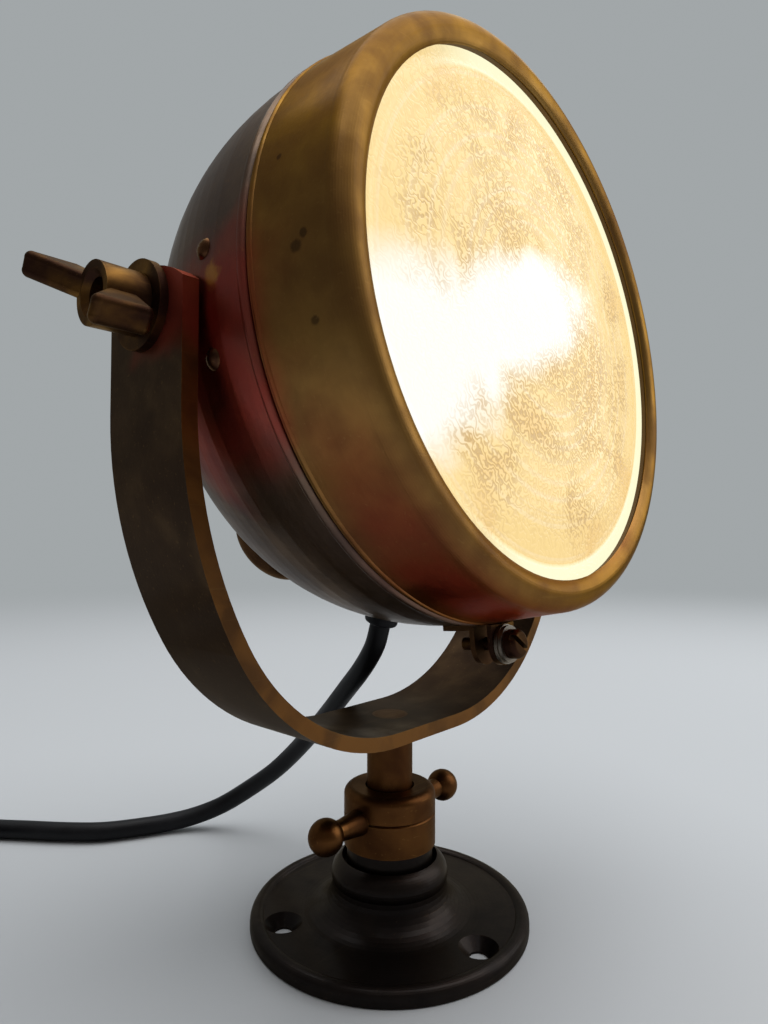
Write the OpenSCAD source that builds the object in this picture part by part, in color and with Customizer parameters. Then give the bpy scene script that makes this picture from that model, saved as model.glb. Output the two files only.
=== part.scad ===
// Small brass searchlight: a lamp bowl with a glazed front, tilting in a strap
// yoke that swivels in a clamped deck base. Millimetres, Z up, the tilt axis
// along X, the beam towards -Y. The origin is the centre of the base's underside.

/* [Base] */
// Diameter of the base flange
base_d = 90; // [82:1:130]
// Thickness of the flange plate
base_plate = 3.8; // [3:0.1:4.4]
// Height of the bead round the flange's edge
bead_h = 4.8; // [3.6:0.1:6]
// Diameter of the hub's swelling
hub_d = 38; // [37:0.5:44]
// Radius of the hub's rounded swelling
hub_round = 6; // [5:0.1:6.4]
// Height of the middle of the swelling
hub_mid = 15; // [14:0.1:17]
// Drop from there to the crease under the swelling
crease_drop = 2; // [1.6:0.1:4.4]
// Radius of the fillet between hub and flange
foot_r = 9.2; // [8.6:0.1:12]
// Diameter of the cup in the hub's top
cup_d = 31.2; // [30:0.1:32.6]
// Number of fixing holes
hole_n = 3; // [3:1:6]
// Diameter of a fixing hole
hole_d = 5.8; // [4:0.1:7]
// Diameter of a countersink
sink_d = 12; // [9:0.1:12.6]
// Distance of the hole centres from the flange's edge
hole_edge = 10; // [8.8:0.1:10.6]

/* [Swivel] */
// Diameter of the spindle
post_d = 15; // [12:0.1:16]
// Diameter of the sleeve's neck above the hub
neck_d = 28; // [26:0.1:29]
// Diameter of the sleeve's thread inside the collar
thread_d = 22; // [20.4:0.1:24]
// Diameter of the clamp collar
collar_d = 30; // [28.6:0.1:34]
// Height of the collar's lower edge above the deck
collar_z = 24.6; // [22.4:0.1:30]
// Length of the clamp collar
collar_h = 18.1; // [15:0.1:24]
// Height of the ball handles above the collar's lower edge
handle_up = 10; // [7:0.1:11]
// Distance of a ball's centre from the spindle's axis
ball_reach = 28.8; // [26:0.1:40]
// Diameter of a handle's ball
ball_d = 10.8; // [9:0.1:15]

/* [Yoke] */
// Height of the tilt axis above the deck
pivot_h = 179.2; // [170:0.1:220]
// Depth of the yoke from the tilt axis to its floor
yoke_drop = 113.6; // [108:0.1:120]
// Width of the strap
strap_w = 33; // [26:0.5:40]
// Thickness of the strap
strap_t = 4.2; // [3:0.1:6]
// Length of an arm above the tilt axis
arm_up = 9.2; // [7:0.1:14]
// Straight length of an arm below the tilt axis
arm_down = 24.2; // [16:0.1:30]
// Width of the flat floor of the strap
floor_w = 29; // [22:0.5:34]
// Angle swept by the arm's upper, wider bend
bend_split = 29.4; // [24:0.1:34]
// Radius of the crowned end of an arm
arm_crown = 28; // [22:0.5:60]
// Gap between the bowl's widest ring and an arm
arm_gap = 0.8; // [0.6:0.1:2]

/* [Head] */
// Upward tilt of the beam
head_tilt = 6; // [-10:0.1:20]
// Radius of the bowl
bowl_r = 84.2; // [80:0.1:90]
// Thickness of the bowl's wall
bowl_wall = 1.2; // [0.9:0.1:2]
// Distance of the bowl's pole behind the tilt axis
bowl_back = 54.5; // [48:0.5:64]
// Fullness of the dome, 2 for an ellipse
bowl_full = 2.2; // [2:0.01:2.8]
// Distance of the seam between bowl and bezel ahead of the tilt axis
seam_a = 33; // [30:0.1:36]
// Length of the tapered band between dome and seam
band_l = 11.5; // [8:0.1:14]
// Taper of the band, from its wider end to the seam
band_in = 0.3; // [0.1:0.1:1]
// Length of the rim that the bezel slides over
spigot_l = 11.9; // [9:0.1:13]
// Place of the cable outlet along the dome, in degrees from the band
outlet_at = 23; // [21:0.1:27]
// Place of the aiming knob along the dome, in degrees from the band
knob_at = 62.7; // [56:0.1:70]
// Diameter of the aiming knob
knob_d = 37; // [26:0.5:44]
// Reach of the aiming knob behind the bowl
knob_reach = 23; // [18:0.5:32]

/* [Bezel] */
// Taper of the bezel, from its rear edge to its front shoulder
front_in = 2.4; // [1:0.1:5]
// Distance of the front shoulder ahead of the tilt axis
front_a = 54.4; // [51:0.1:58]
// Radius of the rolled front edge
roll_r = 5; // [4.5:0.1:6]
// Turn of the rolled edge, from the shoulder to its inner end
roll_turn = 138; // [120:1:150]
// Thickness of the bezel's wall
bezel_wall = 1.2; // [0.9:0.1:1.4]
// Thickness of the lens
glass_t = 4; // [3:0.1:5]
// Rise of the lens's domed face
glass_rise = 3; // [1:0.1:6]

/* [Trunnions] */
// Diameter of a trunnion stud
stud_d = 8; // [6:0.1:10]
// Diameter of a washer under a wing nut
washer_d = 21.6; // [18:0.1:26]
// Thickness of such a washer
washer_t = 2.2; // [1:0.1:3]
// Diameter of a wing nut's hub
wing_hub_d = 15; // [14.6:0.1:18]
// Length of a wing nut's hub
wing_hub_l = 10.6; // [9:0.1:14]
// Radius of a wing nut over its wings
wing_reach = 21; // [18:0.1:26]
// Thickness of a wing
wing_t = 6.2; // [4.8:0.1:7]
// Slope of the wings' line above the horizontal
wing_turn = 27.7; // [0:0.1:90]

/* [Lamp] */
// Depth of the reflector
mirror_l = 46; // [43:0.5:49]
// Diameter of the lamp's bulb
bulb_d = 44; // [40:0.5:46]
// Diameter of the lamp holder
holder_d = 34; // [32:0.5:38]

/* [Cord] */
// Diameter of the cord
cord_d = 7; // [5.6:0.1:7.2]
// Least radius of the coil's turns
coil_r = 31.5; // [29:0.5:33]
// Distance between neighbouring turns
coil_step = 7.7; // [7.6:0.1:8.4]
// Diameter of the plug
plug_d = 36; // [30:0.5:38]
// Length of a plug pin
pin_l = 19; // [17:0.1:20]

/* [Hidden] */
$fn = 96;

// Clearances
run = 0.05;
seat = 0.02;
free = 0.3;
thrust = 0.1;
eps = 0.01;

// Colours
brass = [0.55, 0.42, 0.20];
dark_brass = [0.40, 0.28, 0.15];
bronze = [0.17, 0.13, 0.11];
steel = [0.62, 0.61, 0.58];
silver = [0.80, 0.80, 0.78];
rubber = [0.07, 0.07, 0.08];
porcelain = [0.90, 0.88, 0.83];
clear = [0.96, 0.93, 0.80, 0.5];

// Base and socket
base_r = base_d / 2;
bead_r = bead_h / 2;
rim_round = 0.8;
hub_r = hub_d / 2;
swell_r = hub_r - hub_round;
crease_z = hub_mid - crease_drop;
crease_r = swell_r + sqrt(hub_round * hub_round - crease_drop * crease_drop);
foot_z = base_plate + foot_r;
foot_c = crease_r + sqrt(foot_r * foot_r - pow(foot_z - crease_z, 2));
web_z = 7;
web_t = 3;
web_top = web_z + web_t;
recess_r = 12;
cup_r = cup_d / 2;
cup_z = hub_mid + 1;
cut_h = 60;
sink_z = base_plate - (sink_d - hole_d) / 2;
spigot_r = 4;
spigot_z = 1.6;
post_r = post_d / 2;
neck_r = neck_d / 2;
thread_r = thread_d / 2;

// Clamp collar
collar_r = collar_d / 2;
collar_top = collar_z + collar_h;
collar_round = 2.6;
cone_h = 3;
cone_z = collar_top - 6.2;
nose_wall = 2.6;
nose_r = post_r + nose_wall;
nose_drop = 2.2;
collar_lip = 1.5;
collar_eye = post_r + 0.6;
slot_w = 1.4;
slot_up = 2.4;
groove = 0.4;
handle_z = collar_z + handle_up;
handle_foot_r = 4.3;
handle_waist_r = 3.2;
handle_pin_r = 2.4;
handle_pin_l = 2.6;

// Strap yoke
strap_top = pivot_h - yoke_drop;
strap_z = strap_top - strap_t;
arm_in = bowl_r + arm_gap;
arm_out = arm_in + strap_t;
bend_z = pivot_h - arm_down;
bend_rise = bend_z - strap_z;
bend_run = arm_out - floor_w / 2;
bend_det = (1 - cos(bend_split)) * (1 - sin(bend_split)) - cos(bend_split) * sin(bend_split);
wide_r = (bend_run * (1 - sin(bend_split)) - bend_rise * cos(bend_split)) / bend_det;
tight_r = ((1 - cos(bend_split)) * bend_rise - sin(bend_split) * bend_run) / bend_det;
tenon_r = 5.8;

// Bowl, as a dome of revolution about the beam
dome_a = seam_a - band_l;
dome_d = dome_a + bowl_back;
dome_steps = 28;
seam_gap = 0.9;
bowl_lip_a = seam_a - seam_gap;
bezel_r = bowl_r - band_in;
bowl_bead = 1.6;
bowl_bead_out = 0.5;
front_r = bezel_r - front_in;
bezel_slope = front_in / (front_a - seam_a);
spigot_gap = 0.4;
spigot_end = bowl_lip_a + spigot_l;
plate_t = 1.6;
plate_w = 44;
plate_h = 40;
rivet_r = 1.5;
rivet_head_r = 2.6;
rivet_head_h = 1.2;
rivet_a = 17;
rivet_p = 13;
rivet_drop = 3.3;
boss_r = 8.6;
stud_r = stud_d / 2;
stud_head_r = 7;
stud_end = arm_out + washer_t + 0.55 * wing_hub_l;
nut_face = arm_out + washer_t + thrust;

// Wing nuts
wing_foot = 2.4;
wing_flare = 5.6;
wing_blade = 13.2;
wing_round = 1.6;
wing_flat = wing_t / 2 - wing_round;
wing_root = wing_hub_d / 2 - 2;

// Bezel and lens
roll_in = roll_r - bezel_wall;
front_end = front_a + roll_r;
sight_r = front_r - roll_r * (1 - cos(roll_turn));
gasket_t = 1.4;
glass_edge = front_r - bezel_wall - 2.4;
glass_a = front_a + roll_in * sin(roll_turn) - gasket_t - 2 * thrust;
bezel_bead = 0.9;
bead_out = 0.25;
clip_n = 6;
clip_w = 8;
clip_t = 0.6;

// Fixing screw at the foot of the bezel
lug_w = 12;
lug_t = 1.6;
lug_r = lug_w / 2;
screw_p = bezel_r + 6;
screw_r = 1.95;
screw_head_r = 4.2;
screw_head_h = 3.6;
screw_head_round = 1.4;
screw_slot = 1.6;
screw_slot_turn = -35;
screw_slot_d = 1.8;
screw_washer_r = 5.7;
screw_washer_t = 1.1;
bezel_lug_a = seam_a + 0.2;
bowl_lug_a = bowl_lip_a - 3.4;
screw_seat = bezel_lug_a + lug_t + 2 * screw_washer_t + 2 * seat;
screw_tail = bowl_lug_a - lug_t - 6;

// Lamp and reflector
flange_a = spigot_end + thrust;
reflector_t = 0.6;
mirror_r = sight_r - 1;
focus = mirror_r * mirror_r / (4 * mirror_l);
vertex_a = flange_a - mirror_l;
mirror_eye = 22;
bulb_r = bulb_d / 2;
bulb_a = vertex_a + focus - 3;
holder_r = holder_d / 2;
holder_wall = 1.2;
holder_rear = -bowl_back + bowl_wall + 1.2;
holder_front = vertex_a + 1;
cap_r = 13;
cap_front = bulb_a - 25;
cap_l = 20;

// Cable outlet and cord
cord_r = cord_d / 2;
grommet_r = 5.6;
grommet_neck = 4.7;
grommet_out = 5.4;
grommet_in = 3;
lead_r = 2.4;
cord_sides = 10;
coil_sides = 6;
coil_turns = 5.44;
coil_rings = 24;
coil_centre = [-132, 157.5];
coil_from = 37.5;
coil_low = 5.2;
coil_high = coil_low + coil_step;
coil_lead = 8;
tail_l = 34;
tie_w = 8;
tie_t = 1.1;
tie_at = 110;
plug_z = plug_d / 2 + 0.2;
relief_l = 30;
plug_taper = 14;
plug_l = 22;
pin_r = 2.4;
pin_gap = 19;

// Route of the cord: hung from the outlet to the strap's level, falling to the table, lying.
// Places across and behind the strap's edge, with shares of the heights between.
lie_z = cord_r + 0.2;
outlet_steps = [2.3, 5.6, 13];
hang_points = [[0.5, -6, 0.475], [2, 0, 0.301], [4, 7.5, 0.113]];
fall_points = [
  [8, 21.5, 0.869], [11, 35.5, 0.675], [12, 47.5, 0.506], [11, 57.5, 0.368], [8, 69.5, 0.223],
  [2, 79.5, 0.102], [-6, 87.5, 0.031], [-15, 93.5, 0.003]
];
lying_points = [[-26, 115.5], [-38, 123], [-48, 134], [-57, 146], [-66, 158]];
coil_entry = [[-73.5, 167.5, 0.4], [-79, 174.6, 1]];

// Vectors and swept tubes
function unit(v) = v / norm(v);
function heading(p, i) = unit(p[min(i + 1, len(p) - 1)] - p[max(i - 1, 0)]);
function ring(c, t, side, r, n) =
  let (u = unit(side - (side * t) * t), w = cross(t, u))
  [for (j = [0:n - 1]) c + r * (cos(360 * j / n) * u + sin(360 * j / n) * w)];

// A closed tube of n sides along the points p, side being a direction never along it
module tube(p, r, n, side) {
  last = len(p) - 1;
  skin = [for (i = [0:last]) each ring(p[i], heading(p, i), side, r, n)];
  walls = [
    for (i = [0:last - 1], j = [0:n - 1])
      let (a = i * n + j, b = i * n + (j + 1) % n)
      each [[a, b + n, b], [a, a + n, b + n]]
  ];
  ends = [for (j = [1:n - 2]) each [[0, j, j + 1], [last * n, last * n + j + 1, last * n + j]]];
  polyhedron(points = skin, faces = concat(walls, ends));
}

// Head frame: X across, Y up, Z along the beam, from the middle of the tilt axis
module in_head() {
  translate([0, 0, pivot_h])
    rotate([90 - head_tilt, 0, 0])
      children();
}

// World place of a point of the head's middle plane, p up and a along the beam
function to_world(p, a) =
  [0, p * sin(head_tilt) - a * cos(head_tilt),
   pivot_h + a * sin(head_tilt) + p * cos(head_tilt)];

// Both sides of the head or yoke, the children being made on the +X side
module both_sides() {
  children();
  mirror([1, 0, 0]) children();
}

// Dome: a point at s degrees, the outward slope there, and a solid d mm under the surface
function dome_point(s, d) =
  [(bowl_r - d) * pow(cos(s), 2 / bowl_full), dome_a - (dome_d - d) * pow(sin(s), 2 / bowl_full)];
function dome_slope(s) =
  atan2(pow(sin(s), 2 - 2 / bowl_full) / dome_d, pow(cos(s), 2 - 2 / bowl_full) / bowl_r);
function dome_line(d) = [for (i = [0:dome_steps]) dome_point(90 * i / dome_steps, d)];
function bezel_in(a) = bezel_r - bezel_wall - bezel_slope * (a - seam_a);

function dome_reach(a) = bowl_r * pow(1 - pow((dome_a - a) / dome_d, bowl_full), 1 / bowl_full);
function dome_angle(a) = acos(pow(dome_reach(a) / bowl_r, bowl_full / 2));

module dome_solid(d) {
  rotate_extrude()
    polygon(concat([[0, bowl_lip_a], [bezel_r - d, bowl_lip_a]], dome_line(d)));
}

// Puts children on the dome's lower side at s degrees, their Z pointing outwards
module on_dome(s) {
  q = dome_point(s, 0);
  translate([0, -q[0], q[1]])
    rotate([90 + dome_slope(s), 0, 0])
      children();
}

// Base: half outline from the underside round the bead, fillet and swelling
function arc(c, r, from, to, n) =
  [for (i = [0:n]) c + r * [cos(from + (to - from) * i / n), sin(from + (to - from) * i / n)]];

module base_outline() {
  bead_c = [base_r - bead_r, bead_h - bead_r];
  bead_end = 180 - asin((base_plate - bead_c[1]) / bead_r);
  foot_end = 180 - asin((crease_z - foot_z) / foot_r);
  polygon(concat(
    [[0, 0]],
    arc([base_r - rim_round, rim_round], rim_round, -90, 0, 4),
    arc(bead_c, bead_r, 0, bead_end, 12),
    arc([foot_c, foot_z], foot_r, 270, foot_end, 10),
    arc([swell_r, hub_mid], hub_round, -asin(crease_drop / hub_round), 90, 14),
    [[0, hub_mid + hub_round]]
  ));
}

module base_flange() {
  color(bronze)
    difference() {
      rotate_extrude() base_outline();
      translate([0, 0, cup_z]) cylinder(r = cup_r, h = cut_h);
      translate([0, 0, web_top]) cylinder(r = neck_r + seat, h = cut_h);
      translate([0, 0, -1]) cylinder(r = recess_r, h = web_z + 1);
      cylinder(r = spigot_r + run, h = cut_h);
      for (i = [0:hole_n - 1])
        rotate(-90 + i * 360 / hole_n)
          translate([base_r - hole_edge, 0, 0]) {
            translate([0, 0, -1]) cylinder(d = hole_d, h = cut_h);
            translate([0, 0, sink_z])
              cylinder(d1 = hole_d, d2 = sink_d, h = base_plate - sink_z);
            translate([0, 0, base_plate - eps]) cylinder(d = sink_d, h = cut_h);
          }
    }
}

// Socket sleeve: a split collet standing in the hub
module socket_sleeve() {
  color(dark_brass)
    difference() {
      union() {
        translate([0, 0, web_top]) cylinder(r = neck_r, h = collar_z - free - web_top);
        translate([0, 0, web_top]) cylinder(r = thread_r, h = cone_z - web_top);
        translate([0, 0, cone_z]) cylinder(r1 = thread_r, r2 = nose_r, h = cone_h);
        translate([0, 0, cone_z]) cylinder(r = nose_r, h = collar_top - nose_drop - cone_z);
      }
      translate([0, 0, web_top - 1]) cylinder(r = post_r + run, h = collar_top);
      for (turn = [45, 135])
        rotate(turn)
          translate([-thread_r - 1, -slot_w / 2, collar_z + slot_up])
            cube([2 * thread_r + 2, slot_w, collar_top]);
    }
}

// Clamp collar: a nut that closes the collet
module clamp_collar() {
  color(brass)
    difference() {
      rotate_extrude() {
        translate([0, collar_z]) square([collar_r, collar_h - collar_round]);
        translate([0, collar_z]) square([collar_r - collar_round, collar_h]);
        translate([collar_r - collar_round, collar_top - collar_round]) circle(collar_round);
      }
      translate([0, 0, collar_z - 1]) cylinder(r = thread_r + run, h = cone_z + free - collar_z + 1);
      translate([0, 0, cone_z + free])
        cylinder(r1 = thread_r + run, r2 = nose_r + free, h = cone_h);
      cylinder(r = nose_r + free, h = collar_top - collar_lip);
      cylinder(r = collar_eye, h = collar_top + 1);
      rotate_extrude()
        translate([collar_r, handle_z]) circle(r = groove, $fn = 4);
      for (turn = [0, 180])
        rotate([0, 90, turn])
          translate([-handle_z, 0, 0]) cylinder(r = handle_pin_r + seat, h = collar_r + 1);
    }
}

module collar_handles() {
  color(brass)
    for (turn = [0, 180])
      translate([0, 0, handle_z])
        rotate([0, 90, turn]) {
          difference() {
            union() {
              cylinder(r1 = handle_foot_r + 1.4, r2 = handle_waist_r, h = ball_reach - ball_d * 0.62);
              cylinder(r = handle_waist_r, h = ball_reach);
              translate([0, 0, ball_reach]) sphere(d = ball_d);
            }
            rotate([0, 90, 0]) cylinder(r = collar_r + seat, h = ball_d * 3, center = true);
          }
          translate([0, 0, collar_r - handle_pin_l])
            cylinder(r = handle_pin_r, h = handle_pin_l + 0.5);
        }
}

// Spindle with its tenon above and its threaded tail below
module yoke_post() {
  color(brass) {
    translate([0, 0, web_top + thrust]) cylinder(r = post_r, h = strap_z - web_top - thrust);
    translate([0, 0, web_top]) cylinder(r = tenon_r, h = strap_top - web_top);
    translate([0, 0, spigot_z]) cylinder(r = spigot_r, h = web_top - spigot_z + 1);
  }
}

washer_z = web_z - thrust - 1.5;
module post_washer() {
  color(steel)
    translate([0, 0, washer_z])
      difference() {
        cylinder(r = recess_r - 3, h = 1.5);
        translate([0, 0, -1]) cylinder(r = spigot_r + seat, h = 4);
      }
}

module post_nut() {
  color(steel)
    translate([0, 0, spigot_z - 0.6])
      difference() {
        cylinder(d = 15, h = washer_z - spigot_z + 0.6, $fn = 6);
        translate([0, 0, -1]) cylinder(r = spigot_r + seat, h = washer_z + 2);
      }
}

// Filled outline of the yoke in the X-Z plane, t mm inside its outer face
module yoke_fill(t) {
  split_z = bend_z - (wide_r - t) * sin(bend_split);
  top = pivot_h + arm_up;
  translate([t - arm_out, bend_z]) square([2 * (arm_out - t), top - bend_z + t]);
  intersection() {
    translate([arm_out - wide_r, bend_z]) circle(wide_r - t, $fn = 240);
    translate([wide_r - arm_out, bend_z]) circle(wide_r - t, $fn = 240);
    translate([-arm_out, split_z]) square([2 * arm_out, bend_z - split_z]);
  }
  intersection() {
    union() {
      for (side = [-1, 1])
        translate([side * floor_w / 2, strap_z + tight_r]) circle(tight_r - t, $fn = 240);
      translate([-floor_w / 2, strap_z + t]) square([floor_w, tight_r]);
    }
    translate([-arm_out, strap_z]) square([2 * arm_out, split_z - strap_z]);
  }
}

// Side view of the strap, with the crowned arm ends
module strap_side() {
  crown_z = pivot_h + arm_up - arm_crown;
  translate([-strap_w / 2, 0]) square([strap_w, crown_z]);
  intersection() {
    translate([-strap_w / 2, crown_z - 1]) square([strap_w, arm_crown + 2]);
    translate([0, crown_z]) circle(arm_crown, $fn = 240);
  }
}

module yoke_strap() {
  color(dark_brass)
    difference() {
      intersection() {
        rotate([90, 0, 0])
          linear_extrude(strap_w + 2, center = true)
            difference() {
              yoke_fill(0);
              yoke_fill(strap_t);
            }
        rotate([90, 0, 90])
          linear_extrude(2 * arm_out + 2, center = true)
            strap_side();
      }
      translate([0, 0, strap_z - 1]) cylinder(r = tenon_r + seat, h = strap_t + 2);
      translate([0, 0, pivot_h])
        rotate([0, 90, 0]) cylinder(r = stud_r + run, h = 2 * arm_out + 2, center = true);
    }
}

module strap_washers() {
  color(brass)
    translate([0, 0, pivot_h])
      both_sides()
        translate([arm_out, 0, 0])
          rotate([0, 90, 0])
            difference() {
              cylinder(d = washer_d, h = washer_t);
              translate([0, 0, -1]) cylinder(r = stud_r + run, h = washer_t + 2);
            }
}

// Band of a wing's outline along one side, seen in the plane of the wing
function wing_band(from, to) =
  let (way = (to - from) / norm(to - from), out = wing_round * [way[1], -way[0]])
  [from - out, to - out, to + out, from + out];

// Round bar from one point to another in the plane of a wing, X across the hub and Y along the stud
module wing_bar(from, to) {
  way = to - from;
  translate([from[0], 0, from[1]])
    rotate([0, atan2(way[0], way[1]), 0])
      cylinder(r = wing_round + 0.02, h = norm(way));
}

// One wing: a flat blade with a rounded edge all round
module wing() {
  tip_x = wing_reach - wing_round;
  corners = [
    [wing_root, wing_foot + wing_round],
    [tip_x, wing_flare + wing_round],
    [tip_x, wing_flare + wing_blade - wing_round],
    [wing_root, wing_hub_l - 0.6 - wing_round]
  ];
  rotate([90, 0, 0]) {
    linear_extrude(wing_t, center = true) polygon(corners);
    linear_extrude(2 * wing_flat, center = true) {
      polygon(corners);
      for (i = [0:2])
        polygon(wing_band(corners[i], corners[i + 1]));
      for (i = [1, 2])
        translate(corners[i]) circle(wing_round);
    }
  }
  for (side = [-1, 1])
    translate([0, side * wing_flat, 0]) {
      for (i = [0:2])
        wing_bar(corners[i], corners[i + 1]);
      for (i = [1, 2])
        translate([corners[i][0], 0, corners[i][1]]) sphere(wing_round + 0.04);
    }
}

module wing_nut(turn) {
  color(dark_brass)
    difference() {
      union() {
        cylinder(d = wing_hub_d, h = wing_hub_l);
        for (side = [0, 180])
          rotate(turn + side) wing();
      }
      translate([0, 0, -1]) cylinder(r = stud_r + run, h = wing_hub_l + 2);
      translate([0, 0, wing_hub_l - 1.4])
        cylinder(r1 = stud_r, r2 = stud_r + 1.6, h = 1.4 + eps);
    }
}

module wing_nut_right() {
  translate([nut_face, 0, pivot_h])
    rotate([0, 90, 0])
      wing_nut(90 + wing_turn);
}

module wing_nut_left() {
  translate([-nut_face, 0, pivot_h])
    rotate([0, -90, 0])
      wing_nut(90 - wing_turn);
}

// Bowl in section: dome, band and the tapered rim inside the bezel, with a bead round the lip
module bowl_outline() {
  rim_a = bezel_in(bowl_lip_a) - spigot_gap;
  rim_b = bezel_in(spigot_end) - spigot_gap;
  bead_c = [bezel_r - bowl_bead + bowl_bead_out, bowl_lip_a - bowl_bead];
  bead_foot = acos((bowl_bead - bowl_bead_out) / bowl_bead);
  polygon(concat(
    [[rim_b - bowl_wall, spigot_end], [rim_b, spigot_end], [rim_a, bowl_lip_a]],
    arc(bead_c, bowl_bead, 90, -bead_foot, 12),
    dome_line(0),
    [for (i = [dome_steps:-1:0]) dome_point(90 * i / dome_steps, bowl_wall)],
    [[rim_a - bowl_wall, bowl_lip_a]]
  ));
}

module rear_bowl() {
  color(brass)
    in_head()
      difference() {
        rotate_extrude() bowl_outline();
        rotate([0, 90, 0]) cylinder(r = stud_r + seat, h = 2 * arm_out, center = true);
        rivet_places() cylinder(r = rivet_r + seat, h = 16, center = true);
        on_dome(outlet_at) cylinder(r = grommet_neck + seat, h = 30, center = true);
        on_dome(knob_at) cylinder(r = 3 + seat, h = 30, center = true);
      }
}

// Rivets on both sides of the bowl, Z pointing squarely out of its surface
module rivet_places() {
  for (side = [0, 180], up = [-1, 1], along = [-1, 1]) {
    a = along * rivet_a;
    r = dome_reach(a);
    rotate(side + (side == 0 ? 1 : -1) * asin((up * rivet_p - rivet_drop) / r))
      translate([r, 0, a])
        rotate([0, 90 + dome_slope(dome_angle(a)), 0])
          children();
  }
}

module trunnion_bosses() {
  color(dark_brass)
    in_head()
      difference() {
        both_sides()
          translate([bowl_r - 12, 0, 0])
            rotate([0, 90, 0])
              difference() {
                cylinder(r = boss_r, h = arm_in - thrust - bowl_r + 12);
                translate([0, 0, -1]) cylinder(r = stud_r + seat, h = 20);
              }
        dome_solid(0);
      }
}

module trunnion_plates() {
  color(dark_brass)
    in_head()
      difference() {
        intersection() {
          both_sides()
            translate([bowl_r - 22, -plate_h / 2, -plate_w / 2]) cube([22, plate_h, plate_w]);
          difference() {
            dome_solid(bowl_wall + seat);
            dome_solid(bowl_wall + plate_t);
          }
        }
        rotate([0, 90, 0]) cylinder(r = stud_r + seat, h = 2 * arm_out, center = true);
        rivet_places() cylinder(r = rivet_r + seat, h = 16, center = true);
      }
}

module trunnion_studs() {
  color(steel)
    in_head()
      both_sides() {
        translate([bowl_r - 10, 0, 0])
          rotate([0, 90, 0])
            cylinder(r = stud_r, h = stud_end - bowl_r + 10);
        intersection() {
          translate([bowl_r - 12, 0, 0])
            rotate([0, 90, 0])
              cylinder(r = stud_head_r, h = 12);
          dome_solid(bowl_wall + plate_t + seat);
        }
      }
}

module trunnion_rivets() {
  ball = (rivet_head_r * rivet_head_r + rivet_head_h * rivet_head_h) / (2 * rivet_head_h);
  color(dark_brass)
    in_head() {
      difference() {
        rivet_places()
          intersection() {
            translate([0, 0, -0.5]) cylinder(r = rivet_head_r, h = 4);
            translate([0, 0, rivet_head_h - ball]) sphere(ball);
          }
        dome_solid(0);
      }
      rivet_places()
        translate([0, 0, -bowl_wall - plate_t - 1]) cylinder(r = rivet_r, h = bowl_wall + plate_t + 1.5);
    }
}

// Turned knob on the back of the bowl, for aiming
module aim_knob() {
  head_h = 10;
  color(dark_brass)
    in_head() {
      difference() {
        on_dome(knob_at)
          rotate_extrude() {
            translate([0, -4]) square([9, 6.5]);
            square([5, knob_reach - 1]);
            translate([0, knob_reach - head_h]) square([knob_d / 2 - head_h / 2, head_h]);
            translate([knob_d / 2 - head_h / 2, knob_reach - head_h / 2]) circle(head_h / 2);
          }
        dome_solid(0);
      }
      on_dome(knob_at) translate([0, 0, -7]) cylinder(r = 3, h = 10);
    }
}

module aim_knob_nut() {
  color(steel)
    in_head()
      intersection() {
        on_dome(knob_at)
          translate([0, 0, -6])
            difference() {
              cylinder(d = 12, h = 6, $fn = 6);
              translate([0, 0, -1]) cylinder(r = 3 + seat, h = 8);
            }
        dome_solid(bowl_wall + seat);
      }
}

// Tab under the bowl that takes the bezel's screw
module bowl_lug() {
  foot_l = 11;
  color(brass)
    in_head()
      difference() {
        union() {
          translate([0, -screw_p, bowl_lug_a - lug_t]) {
            cylinder(r = lug_r, h = lug_t);
            translate([-lug_r, 0, 0]) cube([lug_w, screw_p - bowl_r + 4, lug_t]);
          }
          intersection() {
            translate([-lug_r, -bowl_r - lug_t, bowl_lug_a - foot_l]) cube([lug_w, 8, foot_l]);
            dome_solid(-lug_t);
          }
        }
        dome_solid(-seat);
        translate([0, -screw_p, screw_tail]) cylinder(r = screw_r + run, h = seam_a);
      }
}

// Rubber bush in the cable outlet
module cable_grommet() {
  color(rubber)
    in_head()
      difference() {
        union() {
          difference() {
            on_dome(outlet_at)
              rotate_extrude() {
                translate([0, -4]) square([grommet_r, grommet_out + 3]);
                square([grommet_r - 1, grommet_out]);
                translate([grommet_r - 1, grommet_out - 1]) circle(1);
              }
            dome_solid(0);
          }
          on_dome(outlet_at) translate([0, 0, -3]) cylinder(r = grommet_neck, h = 5);
          intersection() {
            on_dome(outlet_at) translate([0, 0, -grommet_in - 2]) cylinder(r = grommet_r, h = 5);
            dome_solid(bowl_wall + seat);
          }
        }
        on_dome(outlet_at) translate([0, 0, -20]) cylinder(r = cord_r + free, h = 40);
      }
}

// Lead from the outlet to the lamp holder, in the head's frame
module inner_lead() {
  q = dome_point(outlet_at, 0);
  n = [0, -cos(dome_slope(outlet_at)), -sin(dome_slope(outlet_at))];
  from = [0, -q[0], q[1]];
  entry = [0, -holder_r, holder_rear + 12];
  route = [
    from - 1.5 * n, from - 6 * n, from - 12 * n + [0, 1, -2], from - 18 * n + [0, 4, -8],
    (from + entry) / 2 + [0, 4, -6], entry + [0, -14, -2], entry + [0, -8, 0], entry
  ];
  color(rubber)
    in_head()
      tube(route, lead_r, 8, [1, 0, 0]);
}

// Reflector: a paraboloid whose flange lies on the bowl's rim
module reflector() {
  steps = 20;
  function dish(r) = vertex_a + r * r / (4 * focus);
  rim = bezel_in(spigot_end) - spigot_gap - 0.3;
  radii = [for (i = [0:steps]) mirror_eye + (mirror_r - mirror_eye) * i / steps];
  color(silver)
    in_head()
      rotate_extrude()
        polygon(concat(
          [for (r = radii) [r, dish(r)]],
          [[rim, flange_a], [rim, flange_a + reflector_t], [mirror_r - 1, flange_a + reflector_t]],
          [for (i = [steps:-1:0]) [radii[i] - 0.5, dish(radii[i]) + reflector_t]]
        ));
}

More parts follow.
